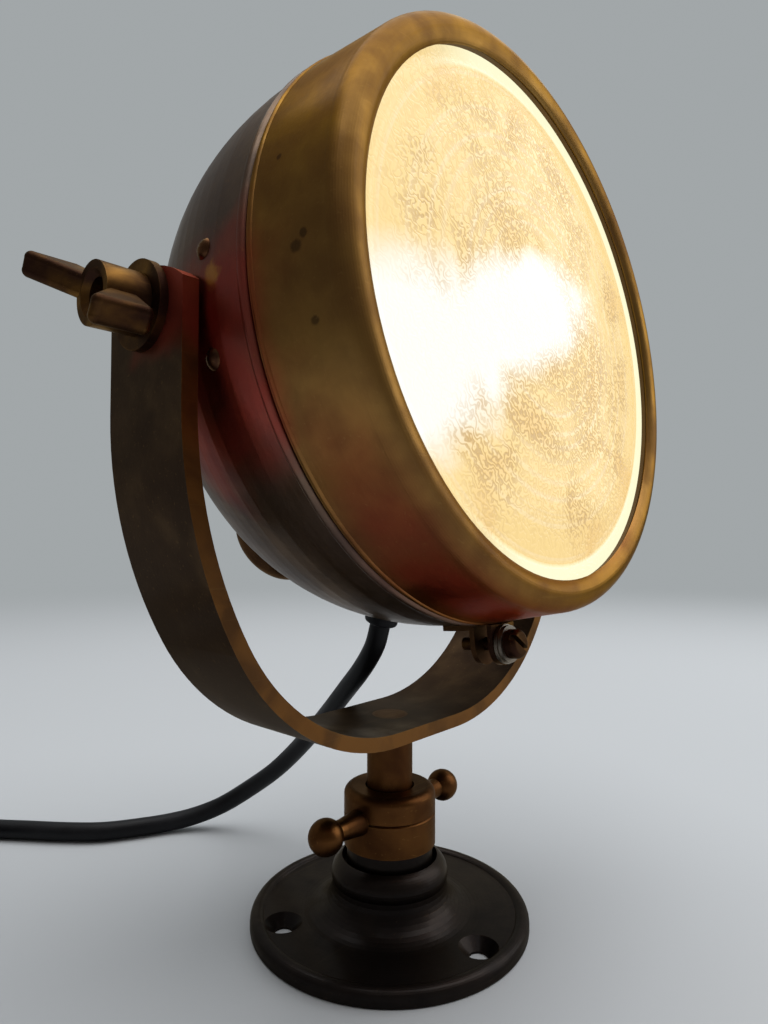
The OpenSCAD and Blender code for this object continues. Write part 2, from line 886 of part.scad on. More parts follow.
// Lamp holder: a flanged brass shell with its insulator
module lamp_holder() {
  color(brass)
    in_head()
      difference() {
        union() {
          translate([0, 0, holder_rear]) cylinder(r = holder_r, h = holder_front - holder_rear);
          intersection() {
            translate([0, 0, -bowl_back - 1]) cylinder(r = holder_r + 6, h = bowl_wall + 6);
            dome_solid(bowl_wall + seat);
          }
        }
        translate([0, 0, holder_rear + 4])
          cylinder(r = holder_r - holder_wall, h = holder_front - holder_rear);
        translate([0, -holder_r, holder_rear + 12])
          rotate([90, 0, 0]) cylinder(r = lead_r + free, h = 8, center = true);
      }
}

module holder_insulator() {
  top = cap_front - cap_l - 0.4;
  color(porcelain)
    in_head()
      difference() {
        translate([0, 0, holder_rear + 4 + seat])
          cylinder(r = holder_r - holder_wall - seat, h = top + 10 - holder_rear - 4);
        translate([0, 0, top]) cylinder(r = cap_r + 0.2, h = 20);
        translate([0, -holder_r, holder_rear + 12])
          rotate([90, 0, 0]) cylinder(r = lead_r + free, h = 8, center = true);
      }
}

module bulb_cap() {
  color(brass)
    in_head()
      translate([0, 0, cap_front - cap_l])
        difference() {
          cylinder(r = cap_r, h = cap_l);
          translate([0, 0, 3]) cylinder(r = cap_r - 1, h = cap_l);
        }
}

module bulb_outline(d) {
  translate([0, bulb_a]) circle(bulb_r - d);
  translate([0, cap_front - 8]) square([cap_r - 1.2 - d, 8 + bulb_a - cap_front]);
}

module bulb_glass() {
  color(clear)
    in_head()
      rotate_extrude()
        intersection() {
          difference() {
            bulb_outline(0);
            bulb_outline(0.8);
          }
          translate([0, -bowl_back]) square([bulb_r + 1, 2 * bowl_back]);
        }
}

// Lamp stem with its hoop of wire
module filament() {
  hoop = 7;
  wire = 0.5;
  color(silver)
    in_head() {
      translate([0, 0, cap_front - cap_l + 3]) cylinder(r = 3.2, h = bulb_a - 6 - cap_front + cap_l - 3);
      for (side = [-1, 1])
        translate([side * hoop, 0, bulb_a - 8])
          cylinder(r = wire, h = 8);
      translate([0, 0, bulb_a - 8]) rotate([0, 90, 0]) cylinder(r = wire, h = 2 * hoop, center = true);
      translate([0, 0, bulb_a])
        rotate([90, 0, 0])
          rotate_extrude(angle = 180) translate([hoop, 0]) circle(wire);
    }
}

// Bezel: tapered barrel with a rolled front edge
module bezel_outline() {
  roll = [front_r - roll_r, front_a];
  polygon(concat(
    [[bezel_r, seam_a]],
    arc(roll, roll_r, 0, roll_turn, 20),
    arc(roll, roll_in, roll_turn, 0, 20),
    [[bezel_r - bezel_wall, seam_a]]
  ));
  translate([bezel_r - bezel_bead + bead_out, seam_a + bezel_bead]) circle(bezel_bead);
}

module bezel_ring() {
  color(brass)
    in_head()
      rotate_extrude() bezel_outline();
}

module lens_gasket() {
  color(rubber)
    in_head()
      rotate_extrude()
        translate([sight_r + 1, glass_a + thrust]) square([glass_edge - sight_r - 1, gasket_t - 0.1]);
}

// Lens: flat at the back and the edge, domed within the opening
module lens_glass() {
  dome_r = sight_r - 1;
  ball = (dome_r * dome_r + glass_rise * glass_rise) / (2 * glass_rise);
  edge_angle = acos(dome_r / ball);
  color(clear)
    in_head()
      rotate_extrude()
        polygon(concat(
          [[0, glass_a - glass_t], [glass_edge, glass_a - glass_t], [glass_edge, glass_a]],
          arc([0, glass_a + glass_rise - ball], ball, edge_angle, 90, 12)
        ));
}

// Spring clips between the bezel's wall and the back of the lens
module lens_clips() {
  back = glass_a - glass_t - thrust;
  wall_r = front_r - bezel_wall - 0.15;
  color(steel)
    in_head()
      for (i = [0:clip_n - 1])
        rotate(30 + i * 360 / clip_n)
          rotate([90, 0, 0])
            linear_extrude(clip_w, center = true)
              polygon([
                [glass_edge - 5, back], [glass_edge - 2, back - clip_t], [wall_r - 1, back - 3],
                [wall_r, back - 2], [wall_r, front_a - 1], [wall_r - clip_t, front_a - 1],
                [wall_r - clip_t, back - 1.6], [glass_edge - 2, back]
              ]);
}

// Steel tab on the bezel, with the screw and its washers
module bezel_lug() {
  color(steel)
    in_head()
      difference() {
        translate([0, -screw_p, bezel_lug_a]) {
          cylinder(r = lug_r, h = lug_t);
          translate([-lug_r, 0, 0]) cube([lug_w, screw_p - bezel_r + 2, lug_t]);
        }
        rotate_extrude()
          polygon([
            [0, 0], [bezel_r + bead_out, 0], [bezel_r + bead_out, seam_a + bezel_bead], [0, seam_a + 4]
          ]);
        translate([0, 0, seam_a]) cylinder(r = bezel_r + bead_out + seat, h = 2 * bezel_bead + 1);
        translate([0, -screw_p, 0]) cylinder(r = screw_r + 0.2, h = front_a);
      }
}

module bezel_washers() {
  color(silver)
    in_head()
      for (i = [0, 1])
        translate([0, -screw_p, bezel_lug_a + lug_t + seat + i * (screw_washer_t + seat)])
          difference() {
            cylinder(r = screw_washer_r - i * 0.4, h = screw_washer_t - seat);
            translate([0, 0, -1]) cylinder(r = screw_r + 0.2, h = 4);
          }
}

module bezel_screw() {
  color(steel)
    in_head()
      translate([0, -screw_p, 0])
        difference() {
          union() {
            translate([0, 0, screw_tail]) cylinder(r = screw_r, h = screw_seat - screw_tail + 1);
            translate([0, 0, screw_seat])
              rotate_extrude() {
                square([screw_head_r, screw_head_h - screw_head_round]);
                square([screw_head_r - screw_head_round, screw_head_h]);
                translate([screw_head_r - screw_head_round, screw_head_h - screw_head_round])
                  circle(screw_head_round);
              }
          }
          translate([0, 0, screw_seat + screw_head_h])
            rotate(screw_slot_turn) cube([3 * screw_head_r, screw_slot, 2 * screw_slot_d], center = true);
        }
}

// Coil: the turns spiral in on the lower layer and out on the upper one
coil_mid = 180 * coil_turns;
coil_end = coil_from + 360 * coil_turns;
function ease(x) = let (t = min(1, max(0, x))) t * t * (3 - 2 * t);
function coil_radius(w) = coil_r + coil_step * abs(w - coil_mid) / 360;
function coil_level(w) = coil_low + coil_step * ease((w - coil_mid + 90) / 180);
function coil_at(w) =
  [coil_centre[0] + coil_radius(w) * cos(coil_from + w),
   coil_centre[1] + coil_radius(w) * sin(coil_from + w), coil_level(w)];
function coil_way(a) = [-sin(a), cos(a), 0];
coil_last = round(coil_turns * coil_rings);
coil_loops = [for (i = [0:coil_last]) coil_at(360 * coil_turns * i / coil_last)];
coil_start = coil_at(0) - coil_lead * coil_way(coil_from);
tail_from = coil_at(360 * coil_turns);
tail = [
  for (d = [0.25, 0.5, 0.77, 1])
    tail_from + tail_l * d * coil_way(coil_end)
      + [0, 0, (plug_z - coil_high) * ease(d / 0.77)]
];
coil_path = concat([coil_start], coil_loops, tail);
outlet_at_dome = dome_point(outlet_at, 0);
outlet_place = to_world(-outlet_at_dome[0], outlet_at_dome[1]);
outlet_way = to_world(-cos(dome_slope(outlet_at)), -sin(dome_slope(outlet_at))) - [0, 0, pivot_h];
strap_back = strap_w / 2;
cord_path = concat(
  [for (k = outlet_steps) outlet_place + k * outlet_way],
  [for (p = hang_points)
    [p[0], strap_back + p[1], strap_top + p[2] * (outlet_place[2] - strap_top)]],
  [for (p = fall_points) [p[0], strap_back + p[1], lie_z + p[2] * (strap_top - lie_z)]],
  [for (p = lying_points) [p[0], p[1], lie_z]],
  [for (p = coil_entry) [p[0], p[1], lie_z + p[2]]],
  [coil_start - 6 * coil_way(coil_from), coil_start]
);
cord_side = [0.8, 0.6, 0];

// Least gap of the coil to itself, between points over half a turn apart
coil_gap = min([
  for (i = [0:len(coil_loops) - 1])
    for (j = [i + coil_rings / 2:len(coil_loops) - 1]) norm(coil_loops[i] - coil_loops[j])
]) - cord_d;
echo(coil_least_gap_mm = coil_gap);

module cord() {
  color(rubber) tube(cord_path, cord_r, cord_sides, cord_side);
}

module cord_coil() {
  color(rubber) tube(coil_path, cord_r, coil_sides, [0, 0, 1]);
}

// Tie: a flat band round all the turns
module cord_tie() {
  near = coil_r - cord_r - 0.6;
  far = coil_radius(0) + cord_r + 0.6;
  low = coil_low - cord_r - free;
  high = coil_high + cord_r + free;
  color(rubber)
    translate([coil_centre[0], coil_centre[1], 0])
      rotate(tie_at)
        rotate([90, 0, 0])
          linear_extrude(tie_w, center = true)
            difference() {
              translate([near - tie_t, low - tie_t])
                square([far - near + 2 * tie_t, high - low + 2 * tie_t]);
              translate([near, low]) square([far - near, high - low]);
            }
}

// Plug: round body with a tapered relief, lying on its side
module at_plug() {
  translate(tail[len(tail) - 1])
    rotate([0, 90, coil_end + 90])
      children();
}

module plug_body() {
  body_r = plug_d / 2;
  color(rubber)
    at_plug()
      rotate_extrude()
        polygon([
          [0, 0], [cord_r + 0.9, 0], [cord_r + 2.6, relief_l], [body_r - 6, relief_l + 1],
          [body_r - 1.6, relief_l + plug_taper * 0.7], [body_r, relief_l + plug_taper],
          [body_r, relief_l + plug_taper + plug_l - 1.5],
          [body_r - 1.5, relief_l + plug_taper + plug_l], [0, relief_l + plug_taper + plug_l]
        ]);
}

module plug_pins() {
  face = relief_l + plug_taper + plug_l;
  color(silver)
    at_plug()
      for (side = [-1, 1])
        translate([0, side * pin_gap / 2, face]) {
          cylinder(r = pin_r, h = pin_l - 1.2);
          translate([0, 0, pin_l - 1.2]) cylinder(r1 = pin_r, r2 = pin_r - 1, h = 1.2);
        }
}

base_flange();
socket_sleeve();
clamp_collar();
collar_handles();
yoke_post();
post_washer();
post_nut();
yoke_strap();
strap_washers();
wing_nut_left();
wing_nut_right();
rear_bowl();
trunnion_bosses();
trunnion_plates();
trunnion_studs();
trunnion_rivets();
aim_knob();
aim_knob_nut();
bowl_lug();
cable_grommet();
inner_lead();
reflector();
lamp_holder();
holder_insulator();
bulb_cap();
bulb_glass();
filament();
bezel_ring();
lens_glass();
lens_gasket();
lens_clips();
bezel_lug();
bezel_washers();
bezel_screw();
cord();
cord_coil();
cord_tie();
plug_body();
plug_pins();
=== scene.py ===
"""Dresses the brass searchlight: aged metal, lit glass and rubber, and the cord lying beside it."""

import logging
import math
from dataclasses import dataclass, field
from enum import Enum

import bpy
import numpy as np
from mathutils import Matrix, Vector


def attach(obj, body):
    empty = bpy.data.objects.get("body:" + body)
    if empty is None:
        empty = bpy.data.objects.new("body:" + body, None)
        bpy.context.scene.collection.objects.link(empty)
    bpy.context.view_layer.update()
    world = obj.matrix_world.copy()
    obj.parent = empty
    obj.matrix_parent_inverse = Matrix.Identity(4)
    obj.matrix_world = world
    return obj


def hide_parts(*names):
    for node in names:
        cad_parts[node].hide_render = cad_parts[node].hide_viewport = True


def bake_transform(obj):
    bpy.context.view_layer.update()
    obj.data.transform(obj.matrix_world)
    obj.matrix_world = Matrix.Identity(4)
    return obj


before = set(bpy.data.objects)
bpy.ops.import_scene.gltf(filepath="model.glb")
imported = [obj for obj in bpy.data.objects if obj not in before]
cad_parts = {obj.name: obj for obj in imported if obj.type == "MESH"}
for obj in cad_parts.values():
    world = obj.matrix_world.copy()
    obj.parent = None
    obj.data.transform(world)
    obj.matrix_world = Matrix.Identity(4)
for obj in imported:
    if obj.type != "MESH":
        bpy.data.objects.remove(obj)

LOG = logging.getLogger("searchlight")
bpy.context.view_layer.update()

Colour = tuple[float, float, float]
Point = tuple[float, float, float]
Pair = tuple[float, float]
Socket = bpy.types.NodeSocket

MM = 0.001
PIVOT_H = 179.2 * MM
HEAD_TILT = math.radians(6.0)


@dataclass(frozen=True)
class Mark:
    """A small mark on the head: where it lies in the head's frame, and how far it reaches."""

    place: Point
    reach: float


class Turning(Enum):
    """The axis that a turned piece was spun about, which its tool marks follow."""

    NONE = "none"
    DECK = "deck"
    HEAD = "head"


class NodeBench:
    """A short way to add and join the nodes of one shader tree."""

    def __init__(self, tree: bpy.types.NodeTree) -> None:
        """Keeps the tree that the nodes go into."""
        self.tree = tree

    def add(self, kind: str, **sets: object) -> bpy.types.Node:
        """Adds a node.

        Args:
            kind: The node type without its ShaderNode prefix.
            sets: Properties of the node, or values of its input sockets, spaces written as _.

        Returns:
            The new node.
        """
        node = self.tree.nodes.new("ShaderNode" + kind)
        for key, value in sets.items():
            if hasattr(node, key):
                setattr(node, key, value)
            else:
                self.feed(node, key.replace("_", " "), value)
        return node

    def feed(self, node: bpy.types.Node, socket: str | int, value: object) -> None:
        """Links a socket into an input, or sets the input to a plain value."""
        target = node.inputs[socket]
        if isinstance(value, bpy.types.NodeSocket):
            self.tree.links.new(value, target)
        elif isinstance(value, tuple) and target.type == "RGBA":
            target.default_value = (*value, 1.0)[:4]
        else:
            target.default_value = value

    def object_place(self) -> Socket:
        """Returns the object coordinates."""
        return self.add("TexCoord").outputs["Object"]

    def head_place(self) -> Socket:
        """Returns object coordinates turned into the head's frame: X across, Y up, Z along the beam."""
        mapping = self.add("Mapping", vector_type="TEXTURE")
        mapping.inputs["Location"].default_value = (0.0, 0.0, PIVOT_H)
        mapping.inputs["Rotation"].default_value = (math.pi / 2 - HEAD_TILT, 0.0, 0.0)
        self.feed(mapping, "Vector", self.object_place())
        return mapping.outputs[0]

    def parts(self, vector: Socket) -> tuple[Socket, Socket, Socket]:
        """Splits a vector into its three parts."""
        node = self.add("SeparateXYZ")
        self.feed(node, 0, vector)
        return tuple(node.outputs)

    def math(self, operation: str, first: object, second: object = 0.0, clamp: bool = False) -> Socket:
        """Adds a Math node and returns its value."""
        node = self.add("Math", operation=operation, use_clamp=clamp)
        self.feed(node, 0, first)
        self.feed(node, 1, second)
        return node.outputs[0]

    def distance(
        self, first: Socket, second: Socket, offset: tuple[object, object] = (0.0, 0.0), reach: Pair = (1.0, 1.0)
    ) -> Socket:
        """Measures how far a place is from a point, each way taken as a share of its own reach.

        Args:
            first: The place's first part.
            second: The place's second part.
            offset: The point.
            reach: The length that counts as one in each part.

        Returns:
            The distance.
        """
        squares = [
            self.math("POWER", self.math("DIVIDE", self.math("SUBTRACT", part, at), size), 2.0)
            for part, at, size in ((first, offset[0], reach[0]), (second, offset[1], reach[1]))
        ]
        return self.math("SQRT", self.math("ADD", *squares))

    def span(self, value: object, low: float, high: float, out_low: float = 0.0, out_high: float = 1.0) -> Socket:
        """Maps a value from low..high to out_low..out_high, smoothly and clamped."""
        node = self.add("MapRange", interpolation_type="SMOOTHSTEP")
        sockets = ("Value", "From Min", "From Max", "To Min", "To Max")
        for socket, item in zip(sockets, (value, low, high, out_low, out_high)):
            self.feed(node, socket, item)
        return node.outputs[0]

    def mix(self, share: object, first: object, second: object) -> Socket:
        """Mixes two colours by a share from 0 to 1."""
        node = self.add("Mix", data_type="RGBA")
        for index, item in ((0, share), (6, first), (7, second)):
            self.feed(node, index, item)
        return node.outputs[2]

    def noise(self, vector: object, scale: object, detail: float = 3.0, distortion: float = 0.0) -> Socket:
        """Adds a Noise texture and returns its factor."""
        node = self.add("TexNoise", Scale=scale, Detail=detail, Distortion=distortion)
        self.feed(node, "Vector", vector)
        return node.outputs[0]


@dataclass(frozen=True)
class PatinaSizes:
    """Scales and thresholds of the tarnish and its dark spots."""

    cloud_share: float = 0.66
    mottle_share: float = 0.34
    mottle_scale: float = 95.0
    grain_scale: float = 900.0
    cover: Pair = (0.34, 0.68)
    spot_scale: float = 52.0
    spot_pick: float = 0.91
    spot_rag: float = 0.12
    spot_reach: Pair = (0.11, 0.17)
    spot_share: float = 0.8
    spot_depth: float = 0.3


@dataclass(frozen=True)
class RubSizes:
    """Scales and thresholds of the rubbed edges."""

    samples: int = 4
    turn: Pair = (0.01, 0.18)
    rag_scale: float = 240.0
    rag: Pair = (0.36, 0.62)
    patch_scale: float = 42.0
    patch: Pair = (0.40, 0.60)
    patch_least: float = 0.15


@dataclass(frozen=True)
class BloomSizes:
    """Where the red-brown bloom lies in the head's frame, in metres."""

    rag_scale: float = 26.0
    rag: float = 0.055
    trunnion: Pair = (0.014, 0.046)
    outside: Pair = (0.045, 0.065)
    seam: Pair = (0.031, 0.040)
    past_seam: float = 0.2
    low: Pair = (-0.078, -0.016)
    band_rear: Pair = (0.028, 0.044)
    band_front: Pair = (0.050, 0.061)


@dataclass(frozen=True)
class HairlineSizes:
    """The ways that the fine scratches run, how far they are drawn out, and which peaks show."""

    ways: tuple[Point, Point] = ((0.35, 0.55, 0.2), (1.1, -0.4, 0.9))
    draw: Point = (9.0, 1050.0, 1050.0)
    peaks: Pair = (0.70, 0.76)


class ShaderGroups:
    """Effects that several finishes share, each built once as a node group."""

    def __init__(self) -> None:
        """Builds the groups."""
        self.patina = self._patina()
        self.rubbed = self._rubbed()
        self.turned = self._turned()
        self.bloom = self._bloom()
        self.hairlines = self._hairlines()

    @staticmethod
    def _new(
        name: str, takes: dict[str, str], gives: dict[str, str]
    ) -> tuple[NodeBench, bpy.types.Node, bpy.types.Node]:
        """Starts a group.

        Args:
            name: The group's name.
            takes: Input names and their socket types.
            gives: Output names and their socket types.

        Returns:
            The bench, the group's input node and its output node.
        """
        tree = bpy.data.node_groups.new(name, "ShaderNodeTree")
        for way, sockets in (("INPUT", takes), ("OUTPUT", gives)):
            for socket, kind in sockets.items():
                tree.interface.new_socket(socket, in_out=way, socket_type="NodeSocket" + kind)
        return NodeBench(tree), tree.nodes.new("NodeGroupInput"), tree.nodes.new("NodeGroupOutput")

    def _patina(self) -> bpy.types.NodeTree:
        """Aged metal: broad clouds of tarnish, fine mottling and a few scattered dark spots."""
        bench, takes, gives = self._new(
            "Patina",
            {
                "Clean": "Color", "Tarnish": "Color", "Spots": "Color",
                "Amount": "Float", "Grain": "Float", "Clouds": "Float",
            },
            {"Color": "Color", "Mask": "Float", "Height": "Float"},
        )
        size = PatinaSizes()
        place = bench.object_place()
        cloud = bench.noise(place, takes.outputs["Clouds"], 4.0, 0.7)
        mottle = bench.noise(place, size.mottle_scale, 5.0, 0.3)
        fine = bench.noise(place, size.grain_scale, 2.0)
        level = bench.math(
            "ADD", bench.math("MULTIPLY", cloud, size.cloud_share), bench.math("MULTIPLY", mottle, size.mottle_share)
        )
        level = bench.math("ADD", level, bench.math("SUBTRACT", takes.outputs["Amount"], 0.5))
        cover = bench.span(level, *size.cover)
        cells = bench.add("TexVoronoi", Scale=size.spot_scale, Randomness=1.0)
        bench.feed(cells, "Vector", place)
        tint = bench.add("SeparateColor")
        bench.feed(tint, 0, cells.outputs["Color"])
        picked = bench.math("GREATER_THAN", tint.outputs[0], size.spot_pick)
        ragged = bench.math("ADD", cells.outputs["Distance"], bench.math("MULTIPLY", mottle, size.spot_rag))
        spot = bench.math("MULTIPLY", picked, bench.span(ragged, *size.spot_reach, 1.0, 0.0))
        colour = bench.mix(cover, takes.outputs["Clean"], takes.outputs["Tarnish"])
        colour = bench.mix(bench.math("MULTIPLY", spot, size.spot_share), colour, takes.outputs["Spots"])
        bench.feed(gives, "Color", colour)
        bench.feed(gives, "Mask", bench.math("MAXIMUM", cover, spot, True))
        bumps = bench.math("MULTIPLY", fine, takes.outputs["Grain"])
        bench.feed(gives, "Height", bench.math("SUBTRACT", bumps, bench.math("MULTIPLY", spot, size.spot_depth)))
        return bench.tree

    def _rubbed(self) -> bpy.types.NodeTree:
        """Rubbed edges: one where the surface turns within the radius, nought on its flats."""
        bench, takes, gives = self._new("RubbedEdges", {"Radius": "Float"}, {"Mask": "Float"})
        size = RubSizes()
        round_off = bench.add("Bevel", samples=size.samples)
        bench.feed(round_off, "Radius", takes.outputs["Radius"])
        turn = bench.add("VectorMath", operation="DOT_PRODUCT")
        bench.feed(turn, 0, round_off.outputs[0])
        bench.feed(turn, 1, bench.add("NewGeometry").outputs["Normal"])
        place = bench.object_place()
        ragged = bench.span(bench.noise(place, size.rag_scale, 3.0), *size.rag)
        patchy = bench.span(bench.noise(place, size.patch_scale, 3.0), *size.patch, size.patch_least, 1.0)
        edge = bench.span(bench.math("SUBTRACT", 1.0, turn.outputs["Value"]), *size.turn)
        bench.feed(gives, "Mask", bench.math("MULTIPLY", edge, bench.math("MULTIPLY", ragged, patchy), True))
        return bench.tree

    def _turned(self) -> bpy.types.NodeTree:
        """Tool marks: noise over the distances from and along an axis, so that it runs in rings."""
        bench, takes, gives = self._new("TurnedLines", {"Place": "Vector", "Density": "Float"}, {"Lines": "Float"})
        across, up, along = bench.parts(takes.outputs["Place"])
        ring = bench.add("CombineXYZ")
        bench.feed(ring, 0, bench.distance(across, up))
        bench.feed(ring, 1, along)
        marks = bench.add("TexNoise", Detail=4.0, Roughness=0.7)
        bench.feed(marks, "Vector", ring.outputs[0])
        bench.feed(marks, "Scale", takes.outputs["Density"])
        bench.feed(gives, "Lines", marks.outputs[0])
        return bench.tree

    def _bloom(self) -> bpy.types.NodeTree:
        """Red-brown bloom: ragged patches round the trunnions and under the bezel, in the head's frame."""
        bench, takes, gives = self._new(
            "WarmBloom", {"Place": "Vector", "Up": "Float", "Along": "Float", "Reach": "Float"}, {"Mask": "Float"}
        )
        size = BloomSizes()
        place = takes.outputs["Place"]
        across, up, along = bench.parts(place)
        uneven = bench.math("SUBTRACT", bench.noise(place, size.rag_scale, 4.0, 0.6), 0.5)
        ragged = bench.math("MULTIPLY", uneven, size.rag)
        far = bench.distance(up, along, (takes.outputs["Up"], takes.outputs["Along"]))
        reach = bench.math("DIVIDE", bench.math("ADD", far, ragged), takes.outputs["Reach"])
        beside = bench.span(bench.math("ABSOLUTE", across), *size.outside)
        trunnion = bench.math("MULTIPLY", bench.span(reach, *size.trunnion, 1.0, 0.0), beside)
        trunnion = bench.math("MULTIPLY", trunnion, bench.span(along, *size.seam, 1.0, size.past_seam))
        low = bench.span(bench.math("ADD", up, ragged), *size.low, 1.0, 0.0)
        band = bench.math("MULTIPLY", bench.span(along, *size.band_rear), bench.span(along, *size.band_front, 1.0, 0.0))
        under = bench.math("MULTIPLY", low, band)
        bench.feed(gives, "Mask", bench.math("MAXIMUM", trunnion, under, True))
        return bench.tree

    def _hairlines(self) -> bpy.types.NodeTree:
        """Fine scratches: noise drawn out along two slanting ways, of which only the peaks are kept."""
        bench, takes, gives = self._new("Hairlines", {"Amount": "Float"}, {"Mask": "Float"})
        size = HairlineSizes()
        place = bench.object_place()
        families = []
        for turn in size.ways:
            mapping = bench.add("Mapping")
            mapping.inputs["Rotation"].default_value = turn
            mapping.inputs["Scale"].default_value = size.draw
            bench.feed(mapping, "Vector", place)
            families.append(bench.span(bench.noise(mapping.outputs[0], 1.0, 1.0, 0.15), *size.peaks))
        lines = bench.math("MAXIMUM", *families)
        bench.feed(gives, "Mask", bench.math("MULTIPLY", lines, takes.outputs["Amount"], True))
        return bench.tree


class Finish:
    """A surface finish that can be made into a material."""

    name: str

    def make(self, groups: ShaderGroups) -> bpy.types.Material:
        """Builds the finish's material.

        Args:
            groups: The shared effects.

        Returns:
            The material.
        """
        raise NotImplementedError

    def start(self) -> tuple[bpy.types.Material, NodeBench, bpy.types.Node]:
        """Starts an empty material.

        Returns:
            The material, its bench and its Principled shader.
        """
        material = bpy.data.materials.new(self.name)
        material.use_nodes = True
        bench = NodeBench(material.node_tree)
        return material, bench, material.node_tree.nodes["Principled BSDF"]


@dataclass(frozen=True)
class MetalSizes:
    """How strongly each effect shows on every metal."""

    bloom_share: float = 0.85
    line_share: float = 0.5
    line_depth: float = 0.2
    ring_depth: float = 0.5
    ring_rough: float = 0.16
    bump: float = 0.16
    bump_depth: float = 0.0006
    coat_rough: float = 0.22
    least_rough: float = 0.14
    mark_scale: float = 330.0
    mark_fade: Pair = (0.55, 1.0)
    bare_share: float = 0.75
    pit_share: float = 0.6
    cut_facing: Pair = (0.6, 0.9)
    cut_share: float = 0.9
    cut_clean: float = 0.5
    stain_scale: float = 70.0
    stain: Pair = (0.38, 0.66)
    stain_least: float = 0.45


@dataclass(frozen=True)
class MetalFinish(Finish):
    """Metal that has aged: tarnish, spots, hairlines, turning marks and rubbed edges."""

    name: str
    clean: Colour
    tarnish: Colour
    spots: Colour = (0.020, 0.012, 0.008)
    worn: Colour = (0.42, 0.25, 0.08)
    bloom: Colour | None = None
    cut_edge: Colour | None = None
    bloom_at: Pair = (-0.016, 0.016)
    bloom_reach: float = 0.85
    amount: float = 0.5
    clouds: float = 15.0
    polish: float = 0.30
    dull: float = 0.52
    grain: float = 0.3
    edge: float = 0.0007
    wear: float = 0.5
    scratch: float = 0.3
    lacquer: float = 0.0
    rim_tint: Colour = (0.75, 0.68, 0.58)
    turning: Turning = Turning.NONE
    density: float = 900.0
    pits: tuple[Mark, ...] = ()
    bare: tuple[Mark, ...] = ()
    size: MetalSizes = MetalSizes()

    def make(self, groups: ShaderGroups) -> bpy.types.Material:
        """Builds the metal.

        Args:
            groups: The shared effects.

        Returns:
            The material.
        """
        material, bench, shader = self.start()
        patina = bench.add(
            "Group", node_tree=groups.patina, Clean=self.clean, Tarnish=self.tarnish, Spots=self.spots,
            Amount=self.amount, Grain=self.grain, Clouds=self.clouds,
        )
        colour = patina.outputs["Color"]
        mask = patina.outputs["Mask"]
        if self.cut_edge is not None:
            colour, mask = self.show_cut(bench, colour, mask)
        if self.bloom is not None:
            up, along = self.bloom_at
            bloom = bench.add(
                "Group", node_tree=groups.bloom, Place=bench.head_place(), Up=up, Along=along, Reach=self.bloom_reach
            )
            colour = bench.mix(bench.math("MULTIPLY", bloom.outputs[0], self.size.bloom_share), colour, self.bloom)
        if self.pits or self.bare:
            colour = self.show_marks(bench, colour)
        rubbed = bench.add("Group", node_tree=groups.rubbed, Radius=self.edge)
        lines = bench.add("Group", node_tree=groups.hairlines, Amount=self.scratch)
        worn = bench.math(
            "MAXIMUM",
            bench.math("MULTIPLY", rubbed.outputs[0], self.wear),
            bench.math("MULTIPLY", lines.outputs[0], self.size.line_share),
        )
        colour = bench.mix(worn, colour, self.worn)
        rough = bench.span(mask, 0.0, 1.0, self.polish, self.dull)
        sunk = bench.math("MULTIPLY", lines.outputs[0], self.size.line_depth)
        height = bench.math("SUBTRACT", patina.outputs["Height"], sunk)
        if self.turning is not Turning.NONE:
            place = bench.head_place() if self.turning is Turning.HEAD else bench.object_place()
            rings = bench.add("Group", node_tree=groups.turned, Place=place, Density=self.density)
            height = bench.math("ADD", height, bench.math("MULTIPLY", rings.outputs[0], self.size.ring_depth))
            ridges = bench.math("SUBTRACT", rings.outputs[0], 0.5)
            rough = bench.math("ADD", rough, bench.math("MULTIPLY", ridges, self.size.ring_rough))
        bump = bench.add("Bump", Strength=self.size.bump, Distance=self.size.bump_depth, Height=height)
        shader.inputs["Metallic"].default_value = 1.0
        shader.inputs["Specular Tint"].default_value = (*self.rim_tint, 1.0)
        shader.inputs["Coat Weight"].default_value = self.lacquer
        shader.inputs["Coat Roughness"].default_value = self.size.coat_rough
        bench.feed(shader, "Base Color", colour)
        bench.feed(shader, "Roughness", bench.math("MAXIMUM", rough, self.size.least_rough))
        bench.feed(shader, "Normal", bump.outputs[0])
        return material

    def show_marks(self, bench: NodeBench, colour: Socket) -> Socket:
        """Lays the dark pits and the bare patches over the colour.

        Args:
            bench: The material's bench.
            colour: The colour so far.

        Returns:
            The new colour.
        """
        place = bench.head_place()
        size = self.size
        ragged = bench.math("SUBTRACT", bench.noise(place, size.mark_scale, 3.0, 0.4), 0.5)
        layers = ((self.bare, self.worn, size.bare_share), (self.pits, self.spots, size.pit_share))
        for marks, tone, share in layers:
            for mark in marks:
                far = bench.add("VectorMath", operation="DISTANCE")
                bench.feed(far, 0, place)
                far.inputs[1].default_value = mark.place
                reach = bench.math("ADD", bench.math("DIVIDE", far.outputs["Value"], mark.reach), ragged)
                colour = bench.mix(bench.span(reach, *size.mark_fade, share, 0.0), colour, tone)
        return colour

    def show_cut(self, bench: NodeBench, colour: Socket, mask: Socket) -> tuple[Socket, Socket]:
        """Lays the brighter sawn edge over faces that look forwards or backwards.

        Args:
            bench: The material's bench.
            colour: The colour so far.
            mask: The tarnish so far.

        Returns:
            The new colour and tarnish.
        """
        size = self.size
        facing = bench.parts(bench.add("TexCoord").outputs["Normal"])[1]
        cut = bench.span(bench.math("ABSOLUTE", facing), *size.cut_facing)
        cloud = bench.noise(bench.object_place(), size.stain_scale, 4.0, 0.5)
        stain = bench.math("MULTIPLY", bench.span(cloud, *size.stain, 1.0, size.stain_least), size.cut_share)
        colour = bench.mix(bench.math("MULTIPLY", cut, stain), colour, self.cut_edge)
        kept = bench.math("SUBTRACT", 1.0, bench.math("MULTIPLY", cut, size.cut_clean))
        return colour, bench.math("MULTIPLY", mask, kept)


